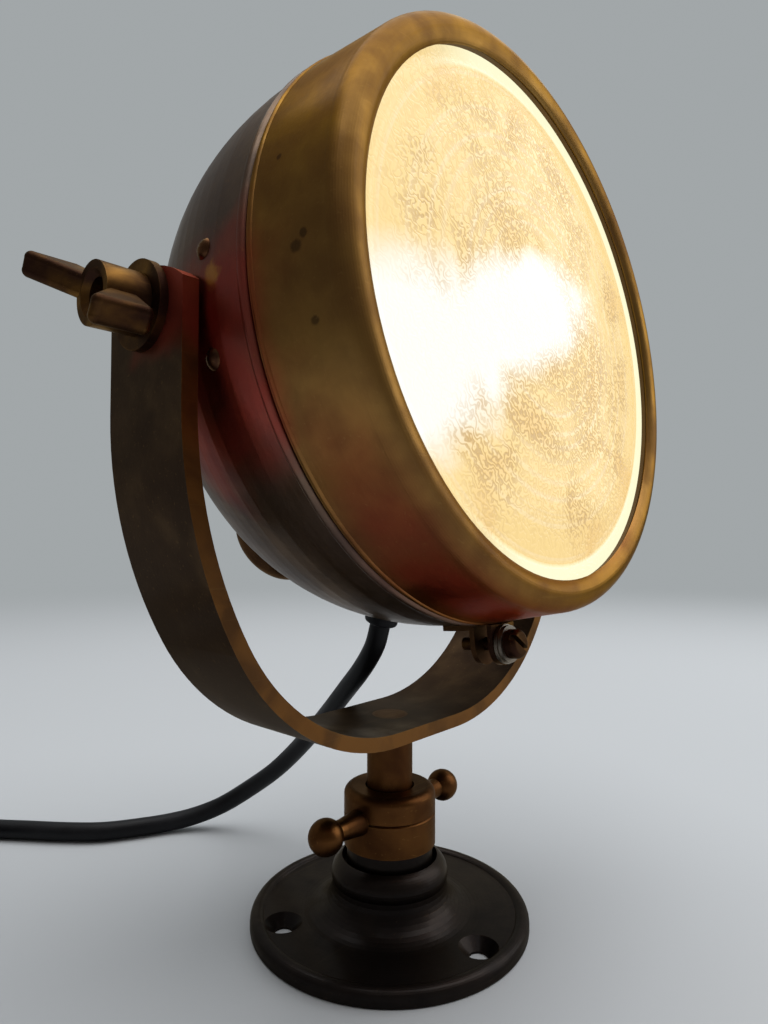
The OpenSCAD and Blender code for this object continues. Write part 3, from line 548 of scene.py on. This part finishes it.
@dataclass(frozen=True)
class RubberFinish(Finish):
    """Smooth rubber with a faint bloom of dust."""

    name: str
    body: Colour = (0.0045, 0.0045, 0.0055)
    bloom: Colour = (0.012, 0.012, 0.014)
    roughness: float = 0.46
    gloss: float = 0.18

    def make(self, groups: ShaderGroups) -> bpy.types.Material:
        """Builds the rubber.

        Args:
            groups: The shared effects, of which rubber needs none.

        Returns:
            The material.
        """
        material, bench, shader = self.start()
        place = bench.object_place()
        cloud = bench.noise(place, 60.0, 4.0)
        grain = bench.noise(place, 1600.0, 2.0)
        bench.feed(shader, "Base Color", bench.mix(bench.span(cloud, 0.4, 0.75), self.body, self.bloom))
        rough = bench.span(cloud, 0.3, 0.7, self.roughness - 0.06, self.roughness + 0.1)
        bench.feed(shader, "Roughness", rough)
        shader.inputs["Specular IOR Level"].default_value = self.gloss
        bump = bench.add("Bump", Strength=0.12, Distance=0.0004, Height=grain)
        bench.feed(shader, "Normal", bump.outputs[0])
        return material


@dataclass(frozen=True)
class LensFinish(Finish):
    """Hammered glass with painted light from the lamp behind it: short worm-like dents, a painted white glow in the
    middle and a plain rim with a painted highlight.
    """

    name: str
    # painted light: the glow, ridge, hollow, haze and rim emission colours stand in for the lamp's light coming through
    # the glass; only the two glass colours are its own
    painted_glow: Colour = (1.0, 0.98, 0.90)
    ridge: Colour = (0.95, 0.70, 0.30)
    hollow: Colour = (0.57, 0.37, 0.15)
    haze: Colour = (0.90, 0.62, 0.25)
    rim_highlight: Colour = (1.0, 0.97, 0.66)
    glass: Colour = (0.03, 0.022, 0.012)
    glass_hollow: Colour = (0.02, 0.014, 0.007)
    painted_glow_spots: tuple[tuple[Pair, Pair], ...] = (
        ((-0.012, 0.002), (0.034, 0.0150)), ((-0.062, -0.006), (0.040, 0.0200)),
    )
    painted_glow_slope: float = 0.27
    painted_glow_fade: Pair = (0.80, 1.45)
    worm_scale: float = 165.0
    worm_bend: float = 15.0
    worm_line: float = 0.85
    worm_depth: float = 0.8
    cloud_scale: float = 38.0
    cloud: Pair = (0.36, 0.60)
    cloud_least: float = 0.28
    haze_from: Pair = (0.50, 0.68)
    ring_density: float = 420.0
    ring: Pair = (0.45, 0.75)
    ring_share: float = 0.3
    plain_from: float = 0.0682
    plain_fade: float = 0.0016
    lit_from: Pair = (-0.052, -0.015)

    def make(self, groups: ShaderGroups) -> bpy.types.Material:
        """Builds the glass and its painted glow.

        Args:
            groups: The shared effects, of which the lens takes the turned rings.

        Returns:
            The material.
        """
        material, bench, shader = self.start()
        place = bench.head_place()
        across, up, _ = bench.parts(place)
        radius = bench.distance(across, up)
        waves = bench.add(
            "TexWave", bands_direction="DIAGONAL", Scale=self.worm_scale, Distortion=self.worm_bend,
            Detail=1.5, Detail_Scale=2.1,
        )
        bench.feed(waves, "Vector", place)
        cloud = bench.noise(place, self.cloud_scale, 3.0, 0.5)
        rings = bench.add("Group", node_tree=groups.turned, Place=place, Density=self.ring_density)
        worms = bench.span(waves.outputs[1], 0.0, self.worm_line, self.worm_depth, 0.0)
        depth = bench.math("MULTIPLY", worms, bench.span(cloud, *self.cloud, self.cloud_least, 1.0))
        edge = self.plain_from
        depth = bench.math("MULTIPLY", depth, bench.span(radius, edge - 0.012, edge - 0.002, 1.0, 0.35))
        plain = bench.span(radius, edge, edge + self.plain_fade)
        # painted highlight: the plain rim is made brighter on one side
        lit_rim = bench.math("MULTIPLY", plain, bench.span(across, *self.lit_from))
        slanted = bench.math("SUBTRACT", up, bench.math("MULTIPLY", across, self.painted_glow_slope))
        uneven = bench.math("MULTIPLY", bench.math("SUBTRACT", cloud, 0.5), 0.9)
        ragged = bench.math("ADD", bench.math("MULTIPLY", depth, 0.18), uneven)
        # painted glow: a white middle where the lamp shines through, with a ragged edge
        far = bench.math("MINIMUM", *(bench.distance(across, slanted, at, reach) for at, reach in self.painted_glow_spots))
        glow = bench.span(bench.math("ADD", far, ragged), *self.painted_glow_fade, 1.0, 0.0)
        # painted sheen along the turned rings
        shine = bench.math("MULTIPLY", bench.span(rings.outputs[0], *self.ring), self.ring_share)
        tone = bench.mix(shine, self.ridge, self.painted_glow)
        tone = bench.mix(bench.span(cloud, *self.haze_from), tone, self.haze)
        colour = bench.mix(depth, tone, self.hollow)
        colour = bench.mix(glow, colour, self.painted_glow)
        colour = bench.mix(lit_rim, colour, self.rim_highlight)
        bench.feed(shader, "Base Color", bench.mix(depth, self.glass, self.glass_hollow))
        # the lens is no lamp: this emission colour is painted light
        bench.feed(shader, "Emission Color", colour)
        shader.inputs["Emission Strength"].default_value = 1.0
        shader.inputs["Specular IOR Level"].default_value = 0.15
        shader.inputs["Roughness"].default_value = 0.12
        bump = bench.add("Bump", Strength=0.4, Distance=0.0008, Height=bench.math("SUBTRACT", plain, depth))
        bench.feed(shader, "Normal", bump.outputs[0])
        return material


@dataclass(frozen=True)
class GlowFinish(Finish):
    """A lit surface: the pearl lamp and its wire."""

    name: str
    body: Colour
    light: Colour
    strength: float = 1.0

    def make(self, groups: ShaderGroups) -> bpy.types.Material:
        """Builds the glow.

        Args:
            groups: The shared effects, of which a glow needs none.

        Returns:
            The material.
        """
        material, bench, shader = self.start()
        cloud = bench.noise(bench.object_place(), 120.0, 2.0)
        shade, dimmer = tuple(0.9 * c for c in self.body), tuple(0.94 * c for c in self.light)
        bench.feed(shader, "Base Color", bench.mix(bench.span(cloud, 0.3, 0.7), self.body, shade))
        bench.feed(shader, "Emission Color", bench.mix(bench.span(cloud, 0.2, 0.8), self.light, dimmer))
        shader.inputs["Emission Strength"].default_value = self.strength
        shader.inputs["Roughness"].default_value = 0.3
        return material


@dataclass(frozen=True)
class PorcelainFinish(Finish):
    """Glazed white porcelain with faint iron specks."""

    name: str
    body: Colour = (0.78, 0.76, 0.70)
    speck: Colour = (0.45, 0.38, 0.30)

    def make(self, groups: ShaderGroups) -> bpy.types.Material:
        """Builds the porcelain.

        Args:
            groups: The shared effects, of which porcelain needs none.

        Returns:
            The material.
        """
        material, bench, shader = self.start()
        specks = bench.noise(bench.object_place(), 700.0, 2.0)
        bench.feed(shader, "Base Color", bench.mix(bench.span(specks, 0.66, 0.74), self.body, self.speck))
        shader.inputs["Roughness"].default_value = 0.18
        return material


RED_BLOOM: Colour = (0.33, 0.034, 0.021)
BRASS = MetalFinish(
    "aged_brass_spun", (0.28, 0.155, 0.040), (0.145, 0.072, 0.022), bloom=RED_BLOOM, lacquer=0.1, scratch=0.2,
    turning=Turning.HEAD, rim_tint=(0.45, 0.38, 0.28),
    pits=(
        Mark((-0.083, -0.001, 0.047), 0.0019), Mark((-0.082, 0.001, 0.049), 0.0013),
        Mark((-0.081, -0.017, 0.049), 0.0014), Mark((-0.080, 0.022, 0.041), 0.0009),
    ),
)
# partly painted reflection and shade: these colours are greyer and darker than the bezel's brass, standing in for a
# grey sheen and for shade as well as for tarnish
BOWL_BRASS = MetalFinish(
    "bowl_brass_tarnish_and_sheen", (0.165, 0.110, 0.072), (0.080, 0.054, 0.042), bloom=RED_BLOOM, worn=(0.46, 0.22, 0.04),
    lacquer=0.28, scratch=0.2, wear=0.3, turning=Turning.HEAD, rim_tint=(0.40, 0.36, 0.32),
    bare=(Mark((-0.0825, 0.0020, 0.0205), 0.0042),),
)
BRASS_TURNED = MetalFinish(
    "aged_brass_turned", (0.135, 0.056, 0.016), (0.054, 0.020, 0.009), worn=(0.40, 0.22, 0.06), amount=0.54,
    turning=Turning.DECK, density=1500.0,
)
BROWN_BRASS = MetalFinish(
    "brown_brass", (0.13, 0.064, 0.026), (0.050, 0.024, 0.014), bloom=RED_BLOOM, worn=(0.32, 0.18, 0.06), amount=0.55,
    polish=0.34, dull=0.56,
)
NUT_BRASS = MetalFinish(
    "nut_brass", (0.20, 0.097, 0.021), (0.036, 0.016, 0.011), worn=(0.34, 0.17, 0.05), amount=0.60, clouds=70.0,
    polish=0.30, dull=0.50, wear=0.3,
)
RIVET_BRASS = MetalFinish(
    "rivet_brass", (0.11, 0.048, 0.022), (0.038, 0.016, 0.011), worn=(0.26, 0.13, 0.05), clouds=90.0,
    polish=0.26, dull=0.42,
)
STRAP_BRASS = MetalFinish(
    "strap_brass", (0.090, 0.052, 0.025), (0.036, 0.020, 0.013), bloom=(0.36, 0.060, 0.038), bloom_at=(0.002, 0.012),
    bloom_reach=0.58, cut_edge=(0.21, 0.090, 0.024), worn=(0.26, 0.15, 0.05), amount=0.6, polish=0.36, dull=0.56,
    lacquer=0.05,
)
DARK_BRONZE = MetalFinish(
    "dark_bronze", (0.024, 0.018, 0.015), (0.011, 0.009, 0.009), worn=(0.085, 0.055, 0.032), amount=0.5, polish=0.42,
    dull=0.60, wear=0.45, turning=Turning.DECK, lacquer=0.1,
)
PLATED_STEEL = MetalFinish(
    "plated_steel", (0.34, 0.31, 0.27), (0.13, 0.095, 0.065), worn=(0.52, 0.49, 0.44), amount=0.5, polish=0.28,
    dull=0.5,
)
SILVERED = MetalFinish(
    "silvered", (0.88, 0.86, 0.80), (0.70, 0.64, 0.50), worn=(0.9, 0.88, 0.84), amount=0.3, polish=0.12, dull=0.25,
    turning=Turning.HEAD, rim_tint=(1.0, 1.0, 1.0),
)
BLACK_RUBBER = RubberFinish("black_rubber")
BROWN_RUBBER = RubberFinish("brown_rubber", (0.10, 0.052, 0.016), (0.14, 0.075, 0.025), 0.6, 0.2)
PORCELAIN = PorcelainFinish("porcelain")
LIT_LENS = LensFinish("lit_lens")
LIT_LAMP = GlowFinish("lit_lamp", (0.95, 0.92, 0.82), (1.0, 0.90, 0.62), 2.0)
HOT_WIRE = GlowFinish("hot_wire", (0.9, 0.8, 0.6), (1.0, 0.80, 0.45), 4.0)


class Paintbox:
    """Makes each finish's material once and puts it on pieces."""

    def __init__(self) -> None:
        """Builds the shared effects and starts with no materials."""
        self.groups = ShaderGroups()
        self.made: dict[str, bpy.types.Material] = {}

    def paint(self, piece: bpy.types.Object, finish: Finish) -> None:
        """Gives a piece one finish all over."""
        if finish.name not in self.made:
            self.made[finish.name] = finish.make(self.groups)
        piece.data.materials.clear()
        piece.data.materials.append(self.made[finish.name])


def unit(rows: np.ndarray) -> np.ndarray:
    """Scales each row to length 1."""
    return rows / np.linalg.norm(rows, axis=-1, keepdims=True)


def grid_mesh(name: str, points: np.ndarray, close_u: bool, close_v: bool, capped: bool = False) -> bpy.types.Object:
    """Makes a mesh of quads from a grid of points.

    Args:
        name: The piece's name.
        points: Points of shape (u, v, 3), with v running clockwise as seen along u on a tube.
        close_u: Whether the last row joins the first.
        close_v: Whether the last column joins the first.
        capped: Whether the first and last rows get a flat face.

    Returns:
        The new object, at the origin.
    """
    rows, columns = points.shape[:2]
    i = np.arange(rows if close_u else rows - 1)[:, None]
    j = np.arange(columns if close_v else columns - 1)[None, :]
    a = i * columns + j
    b = i * columns + (j + 1) % columns
    c = ((i + 1) % rows) * columns + (j + 1) % columns
    d = ((i + 1) % rows) * columns + j
    faces = np.stack([a, d, c, b], axis=-1).reshape(-1, 4).tolist()
    if capped:
        ring = np.arange(columns)
        faces += [ring.tolist(), ((rows - 1) * columns + ring[::-1]).tolist()]
    mesh = bpy.data.meshes.new(name)
    mesh.from_pydata(points.reshape(-1, 3).tolist(), [], faces)
    mesh.polygons.foreach_set("use_smooth", np.arange(len(faces)) < len(faces) - 2 * capped)
    piece = bpy.data.objects.new(name, mesh)
    bpy.context.collection.objects.link(piece)
    return piece


def swept(path: np.ndarray, side: Point, profile: np.ndarray) -> np.ndarray:
    """Carries a closed profile along a path.

    Each profile point (across, over) lies at path + across * u + over * w, where u is the side
    direction less its part along the path's heading, and w is the heading crossed with u.

    Args:
        path: Points of shape (n, 3).
        side: A direction that is never along the path.
        profile: Points of shape (k, 2).

    Returns:
        A grid of points of shape (n, k, 3).
    """
    heading = unit(np.gradient(path, axis=0))
    across = np.asarray(side, float)[None, :]
    across = unit(across - np.sum(across * heading, axis=1, keepdims=True) * heading)
    over = np.cross(heading, across)
    return path[:, None] + profile[None, :, :1] * across[:, None] + profile[None, :, 1:] * over[:, None]


def smooth_line(points: np.ndarray, steps: int) -> np.ndarray:
    """Runs a Catmull-Rom curve through points.

    On each span the place is the cubic whose ends are two neighbouring points and whose end
    slopes are half the distance between the points on either side.

    Args:
        points: Points of shape (n, 3).
        steps: Points made for each span.

    Returns:
        The curve's points.
    """
    ends = np.vstack([2 * points[0] - points[1], points, 2 * points[-1] - points[-2]])
    p0, p1, p2, p3 = ends[:-3, None], ends[1:-2, None], ends[2:-1, None], ends[3:, None]
    t = (np.arange(steps) / steps)[None, :, None]
    square, cube = 2 * p0 - 5 * p1 + 4 * p2 - p3, 3 * p1 - p0 - 3 * p2 + p3
    line = 0.5 * (2 * p1 + (p2 - p0) * t + square * t**2 + cube * t**3)
    return np.vstack([line.reshape(-1, 3), points[-1:]])


def squared_circle(turn: np.ndarray, half: Pair, power: Pair) -> np.ndarray:
    """Draws a rounded rectangle: each part is its half size times the sign and a power of the cosine or sine.

    Args:
        turn: Angles in radians.
        half: Half the width and half the height.
        power: The powers of the two parts, where 1 gives an ellipse and less gives squarer corners.

    Returns:
        Points of shape (n, 2).
    """
    waves = np.stack([np.cos(turn), np.sin(turn)], axis=-1)
    return np.asarray(half) * np.sign(waves) * np.abs(waves) ** np.asarray(power)


@dataclass
class Studio:
    """The camera at the photograph's place, the floor and the light."""

    eye: Point = (-0.17103, -0.15003, 0.12527)
    yaw: float = 48.21
    pitch: float = 1.81
    roll: float = 0.15
    focal_px: float = 680.32
    frame_px: float = 1024.0
    sensor_mm: float = 36.0
    near: float = 0.01
    floor_half: float = 4.0
    floor_points: int = 9
    floor_colour: Colour = (0.50, 0.52, 0.54)
    wall_colour: Colour = (0.36, 0.385, 0.395)
    room_colour: Colour = (0.155, 0.145, 0.137)
    fade: Pair = (0.45, 1.6)
    wall_way: Point = (0.74, 0.66, 0.10)
    wall_fade: Pair = (-0.60, 0.65)
    aim: Point = (0.0, 0.0, 0.13)
    key: tuple[Point, float, float] = ((0.30, -0.15, 1.95), 2.4, 42.0)
    fill: tuple[Point, float, float] = ((1.1, -0.9, 0.8), 1.2, 8.5)

    def build(self) -> None:
        """Makes the camera, floor, lamps and world."""
        self.camera()
        self.floor()
        for name, (place, size, power) in (("key", self.key), ("fill", self.fill)):
            self.lamp(name, place, size, power)
        self.world()

    def camera(self) -> None:
        """Sets the camera: the photo's long side of 1024 px is the sensor's width."""
        yaw, pitch, roll = (math.radians(v) for v in (self.yaw, self.pitch, self.roll))
        ahead = Vector((math.sin(yaw) * math.cos(pitch), math.cos(yaw) * math.cos(pitch), math.sin(pitch)))
        right = Vector((math.cos(yaw), -math.sin(yaw), 0.0))
        up = right.cross(ahead)
        right, up = math.cos(roll) * right + math.sin(roll) * up, math.cos(roll) * up - math.sin(roll) * right
        data = bpy.data.cameras.new("photo_camera")
        data.sensor_width = self.sensor_mm
        data.lens = self.focal_px / self.frame_px * data.sensor_width
        data.clip_start = self.near
        camera = bpy.data.objects.new("photo_camera", data)
        turn = Matrix((right, up, -ahead)).transposed().to_4x4()
        camera.matrix_world = Matrix.Translation(Vector(self.eye)) @ turn
        bpy.context.collection.objects.link(camera)
        bpy.context.scene.camera = camera

    def floor(self) -> None:
        """Makes the pale floor: one wide flat grid that fades into the backdrop far away."""
        side = np.linspace(-self.floor_half, self.floor_half, self.floor_points)
        across, along = np.meshgrid(side, side, indexing="ij")
        grid = np.stack([across, along, np.zeros_like(across)], axis=-1)
        floor = grid_mesh("floor", grid[:, ::-1], False, False)
        material = bpy.data.materials.new("floor")
        material.use_nodes = True
        shader = material.node_tree.nodes["Principled BSDF"]
        bench = NodeBench(material.node_tree)
        place = bench.object_place()
        far = bench.span(bench.distance(*bench.parts(place)[:2]), *self.fade)
        black = (0.0, 0.0, 0.0)
        bench.feed(shader, "Base Color", bench.mix(far, self.floor_colour, black))
        bench.feed(shader, "Emission Color", bench.mix(far, black, self.backdrop(bench, place)))
        shader.inputs["Emission Strength"].default_value = 1.0
        shader.inputs["Specular IOR Level"].default_value = 0.0
        shader.inputs["Roughness"].default_value = 0.9
        floor.data.materials.append(material)

    def lamp(self, name: str, place: Point, size: float, power: float) -> None:
        """Hangs a wide soft lamp that looks at the middle of the piece.

        Args:
            name: The lamp's name.
            place: Where it hangs.
            size: Its width.
            power: Its power in watts.
        """
        data = bpy.data.lights.new(name, "AREA")
        data.size = size
        data.energy = power
        lamp = bpy.data.objects.new(name, data)
        lamp.location = place
        lamp.rotation_euler = (Vector(self.aim) - Vector(place)).to_track_quat("-Z", "Y").to_euler()
        bpy.context.collection.objects.link(lamp)

    def backdrop(self, bench: NodeBench, way: Socket) -> Socket:
        """Gives the colour of the surroundings in a direction: the wall ahead, the room behind the camera.

        Args:
            bench: The bench of the tree that shows them.
            way: The direction, of any length.

        Returns:
            The colour.
        """
        straight = bench.add("VectorMath", operation="NORMALIZE")
        bench.feed(straight, 0, way)
        ahead = bench.add("VectorMath", operation="DOT_PRODUCT")
        bench.feed(ahead, 0, straight.outputs[0])
        ahead.inputs[1].default_value = self.wall_way
        return bench.mix(bench.span(ahead.outputs["Value"], *self.wall_fade), self.room_colour, self.wall_colour)

    def world(self) -> None:
        """Surrounds the scene with a pale wall behind the piece and a dimmer room before it."""
        world = bpy.data.worlds.new("studio")
        bpy.context.scene.world = world
        world.use_nodes = True
        bench = NodeBench(world.node_tree)
        back = world.node_tree.nodes["Background"]
        bench.feed(back, "Color", self.backdrop(bench, bench.add("TexCoord").outputs["Generated"]))
        back.inputs["Strength"].default_value = 1.0


@dataclass
class LyingCord:
    """The cord: out of the bush, down to the table, away to the left and into a tied coil."""

    diameter: float = 7.0 * MM
    sides: int = 16
    route_mm: tuple[Point, ...] = (
        (0, 3.31, 98.21), (0, 4.31, 95.06), (0, 6.53, 88.0), (0.5, 10.5, 82.13), (2, 16.5, 76.08), (4, 24, 69.53),
        (8, 38, 57.49), (11, 52, 45.48), (12, 64, 35.02), (11, 74, 26.48), (8, 86, 17.5), (2, 96, 10.01),
        (-6, 104, 5.62), (-15, 110, 3.89), (-26, 115.5, 3.7), (-38, 123, 3.7), (-48, 134, 3.7),
        (-57, 146, 3.7), (-66, 158, 3.7), (-73.5, 167.5, 4.1), (-79, 174.6, 4.7),
    )
    route_steps: int = 6
    coil_centre: Pair = (-132.0, 157.5)
    coil_points: int = 60
    coil_from: float = 37.5
    coil_turns: float = 5.44
    coil_r: float = 31.5
    coil_step: float = 7.7
    coil_low: float = 5.2
    coil_lead: float = 8.0
    lead_step: float = 6.0
    tail_l: float = 34.0
    tail_points: int = 14
    tail_rise: float = 0.77
    plug_z: float = 18.2
    bend_from_mm: Point = (0, -4.7, 95.7)
    bend_to_mm: Point = (0, 5.0, 56.7)
    tie_at: float = 110.0
    tie_w: float = 8.0
    tie_t: float = 1.1
    tie_slack: Pair = (0.6, 0.3)
    tie_points: int = 97
    tie_corner: float = 2.0 / 7.0

    def ease(self, share: np.ndarray) -> np.ndarray:
        """Runs smoothly from 0 to 1 as the share does."""
        share = np.clip(share, 0.0, 1.0)
        return share * share * (3 - 2 * share)

    def coil(self, per_turn: int) -> np.ndarray:
        """Winds the coil: the radius falls and rises by a step a turn, and the height climbs at the middle.

        Args:
            per_turn: Points made for each turn.

        Returns:
            The coil's points, in millimetres.
        """
        whole = 360.0 * self.coil_turns
        w = np.linspace(0.0, whole, int(per_turn * self.coil_turns))
        radius = self.coil_r + self.coil_step * np.abs(w - whole / 2) / 360.0
        height = self.coil_low + self.coil_step * self.ease((w - whole / 2 + 90.0) / 180.0)
        angle = np.radians(self.coil_from + w)
        x, y = self.coil_centre
        return np.stack([x + radius * np.cos(angle), y + radius * np.sin(angle), height], axis=-1)

    def heading(self, degrees: float) -> np.ndarray:
        """The way round the coil at an angle."""
        return np.array([-math.sin(math.radians(degrees)), math.cos(math.radians(degrees)), 0.0])

    def path(self) -> np.ndarray:
        """Joins the lying route, the coil and the straight tail to the plug.

        Returns:
            The centreline's points, in metres.
        """
        coil = self.coil(self.coil_points)
        start = coil[0] - self.coil_lead * self.heading(self.coil_from)
        into = np.vstack([start - self.lead_step * self.heading(self.coil_from), start, coil[:1]])
        lying = smooth_line(np.vstack([np.array(self.route_mm, float), into]), self.route_steps)
        out = self.heading(self.coil_from + 360.0 * self.coil_turns)
        along = np.linspace(0.05, 1.0, self.tail_points)[:, None]
        rise = (self.plug_z - self.coil_low - self.coil_step) * self.ease(along / self.tail_rise)
        tail = coil[-1] + self.tail_l * along * out + rise * np.array([0.0, 0.0, 1.0])
        return np.vstack([lying, coil[1:], tail]) * MM

    def build(self, paintbox: Paintbox) -> None:
        """Makes the cord and its tie in place of their solids: a circle carried along the path.

        Args:
            paintbox: Gives the rubber.
        """
        path = self.path()
        turn = np.linspace(0.0, 2 * math.pi, self.sides, endpoint=False)
        profile = squared_circle(turn, (self.diameter / 2, self.diameter / 2), (1.0, 1.0))
        piece = grid_mesh("lying_cord", swept(path, (0.35, 0.25, 1.0), profile), False, True, capped=True)
        paintbox.paint(piece, BLACK_RUBBER)
        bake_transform(piece)
        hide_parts("cord", "cord_coil")
        self.tie(paintbox)
        for node, finish in (("plug_body", BLACK_RUBBER), ("plug_pins", PLATED_STEEL)):
            paintbox.paint(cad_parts[node], finish)

    def tie(self, paintbox: Paintbox) -> None:
        """Wraps the tie: a flat strip carried along a rounded rectangle round the turns, on the coil's radius.

        Args:
            paintbox: Gives the rubber.
        """
        half = (self.tie_t + self.diameter / MM) / 2
        aside, over = (half + slack for slack in self.tie_slack)
        far = self.coil_r + self.coil_step * self.coil_turns / 2 + aside
        near = self.coil_r - aside
        low = self.coil_low - over
        high = self.coil_low + self.coil_step + over
        turn = np.linspace(0.0, 2 * math.pi, self.tie_points)
        corners = (self.tie_corner, self.tie_corner)
        loop = squared_circle(turn, ((far - near) / 2, (high - low) / 2), corners)
        loop = loop + ((far + near) / 2, (high + low) / 2)
        angle = math.radians(self.tie_at)
        out = np.array([math.cos(angle), math.sin(angle), 0.0])
        centre = np.array([*self.coil_centre, 0.0])
        path = (centre + loop[:, :1] * out + loop[:, 1:] * np.array([0.0, 0.0, 1.0])) * MM
        edge = np.linspace(0.0, 2 * math.pi, 20, endpoint=False)
        strip = squared_circle(edge, (self.tie_w / 2 * MM, self.tie_t / 2 * MM), (0.35, 0.7))
        piece = grid_mesh("coil_tie", swept(path, tuple(self.heading(self.tie_at)), strip)[:-1], True, True)
        paintbox.paint(piece, BLACK_RUBBER)
        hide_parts("cord_tie")
        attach(piece, "yoke")
        LOG.info("coil_tie: %.0f mm wide", self.tie_w)


@dataclass
class SubAssembly:
    """Rigid pieces that keep their solids' shapes and take their finishes here."""

    finishes: dict[str, Finish] = field(default_factory=dict)

    def dress(self, paintbox: Paintbox) -> None:
        """Paints every piece of the sub-assembly.

        Args:
            paintbox: Gives the finishes.
        """
        for node, finish in self.finishes.items():
            paintbox.paint(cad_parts[node], finish)
            LOG.info("%s: %s", node, finish.name)


@dataclass
class Pedestal(SubAssembly):
    """The deck flange, its socket, and the collar that grips the spindle."""

    finishes: dict[str, Finish] = field(default_factory=lambda: {
        "base_flange": DARK_BRONZE, "socket_sleeve": DARK_BRONZE, "clamp_collar": BRASS_TURNED,
        "collar_handles": BRASS_TURNED,
    })


@dataclass
class Yoke(SubAssembly):
    """The spindle, the bent strap and the wing nuts that hold the head."""

    finishes: dict[str, Finish] = field(default_factory=lambda: {
        "yoke_post": BRASS_TURNED, "post_washer": PLATED_STEEL, "post_nut": PLATED_STEEL, "yoke_strap": STRAP_BRASS,
        "strap_washers": NUT_BRASS, "wing_nut_left": NUT_BRASS, "wing_nut_right": NUT_BRASS,
    })


@dataclass
class Head(SubAssembly):
    """The spun bowl with its trunnions, aiming knob, lug and cable bush."""

    finishes: dict[str, Finish] = field(default_factory=lambda: {
        "rear_bowl": BOWL_BRASS, "trunnion_bosses": BROWN_BRASS, "trunnion_plates": BROWN_BRASS,
        "trunnion_studs": BROWN_BRASS, "trunnion_rivets": RIVET_BRASS, "aim_knob": BROWN_BRASS,
        "aim_knob_nut": PLATED_STEEL, "bowl_lug": BROWN_BRASS,
        "cable_grommet": BLACK_RUBBER, "inner_lead": BLACK_RUBBER,
    })


@dataclass
class Lamp(SubAssembly):
    """The reflector and the lamp in its holder."""

    finishes: dict[str, Finish] = field(default_factory=lambda: {
        "reflector": SILVERED, "lamp_holder": BRASS_TURNED, "holder_insulator": PORCELAIN, "bulb_cap": BRASS_TURNED,
        "bulb_glass": LIT_LAMP, "filament": HOT_WIRE,
    })


@dataclass
class Bezel(SubAssembly):
    """The front ring with its glass, clips and fixing screw."""

    finishes: dict[str, Finish] = field(default_factory=lambda: {
        "bezel_ring": BRASS, "lens_glass": LIT_LENS, "lens_gasket": BROWN_RUBBER, "lens_clips": PLATED_STEEL,
        "bezel_lug": NUT_BRASS, "bezel_washers": PLATED_STEEL, "bezel_screw": NUT_BRASS,
    })


def main() -> None:
    """Builds the studio, the cord and the finishes."""
    logging.basicConfig(level=logging.INFO, format="%(name)s: %(message)s")
    bpy.context.scene.view_settings.view_transform = "Standard"
    paintbox = Paintbox()
    Studio().build()
    LyingCord().build(paintbox)
    for part in (Pedestal(), Yoke(), Head(), Lamp(), Bezel()):
        part.dress(paintbox)


if __name__ == "__main__":
    main()
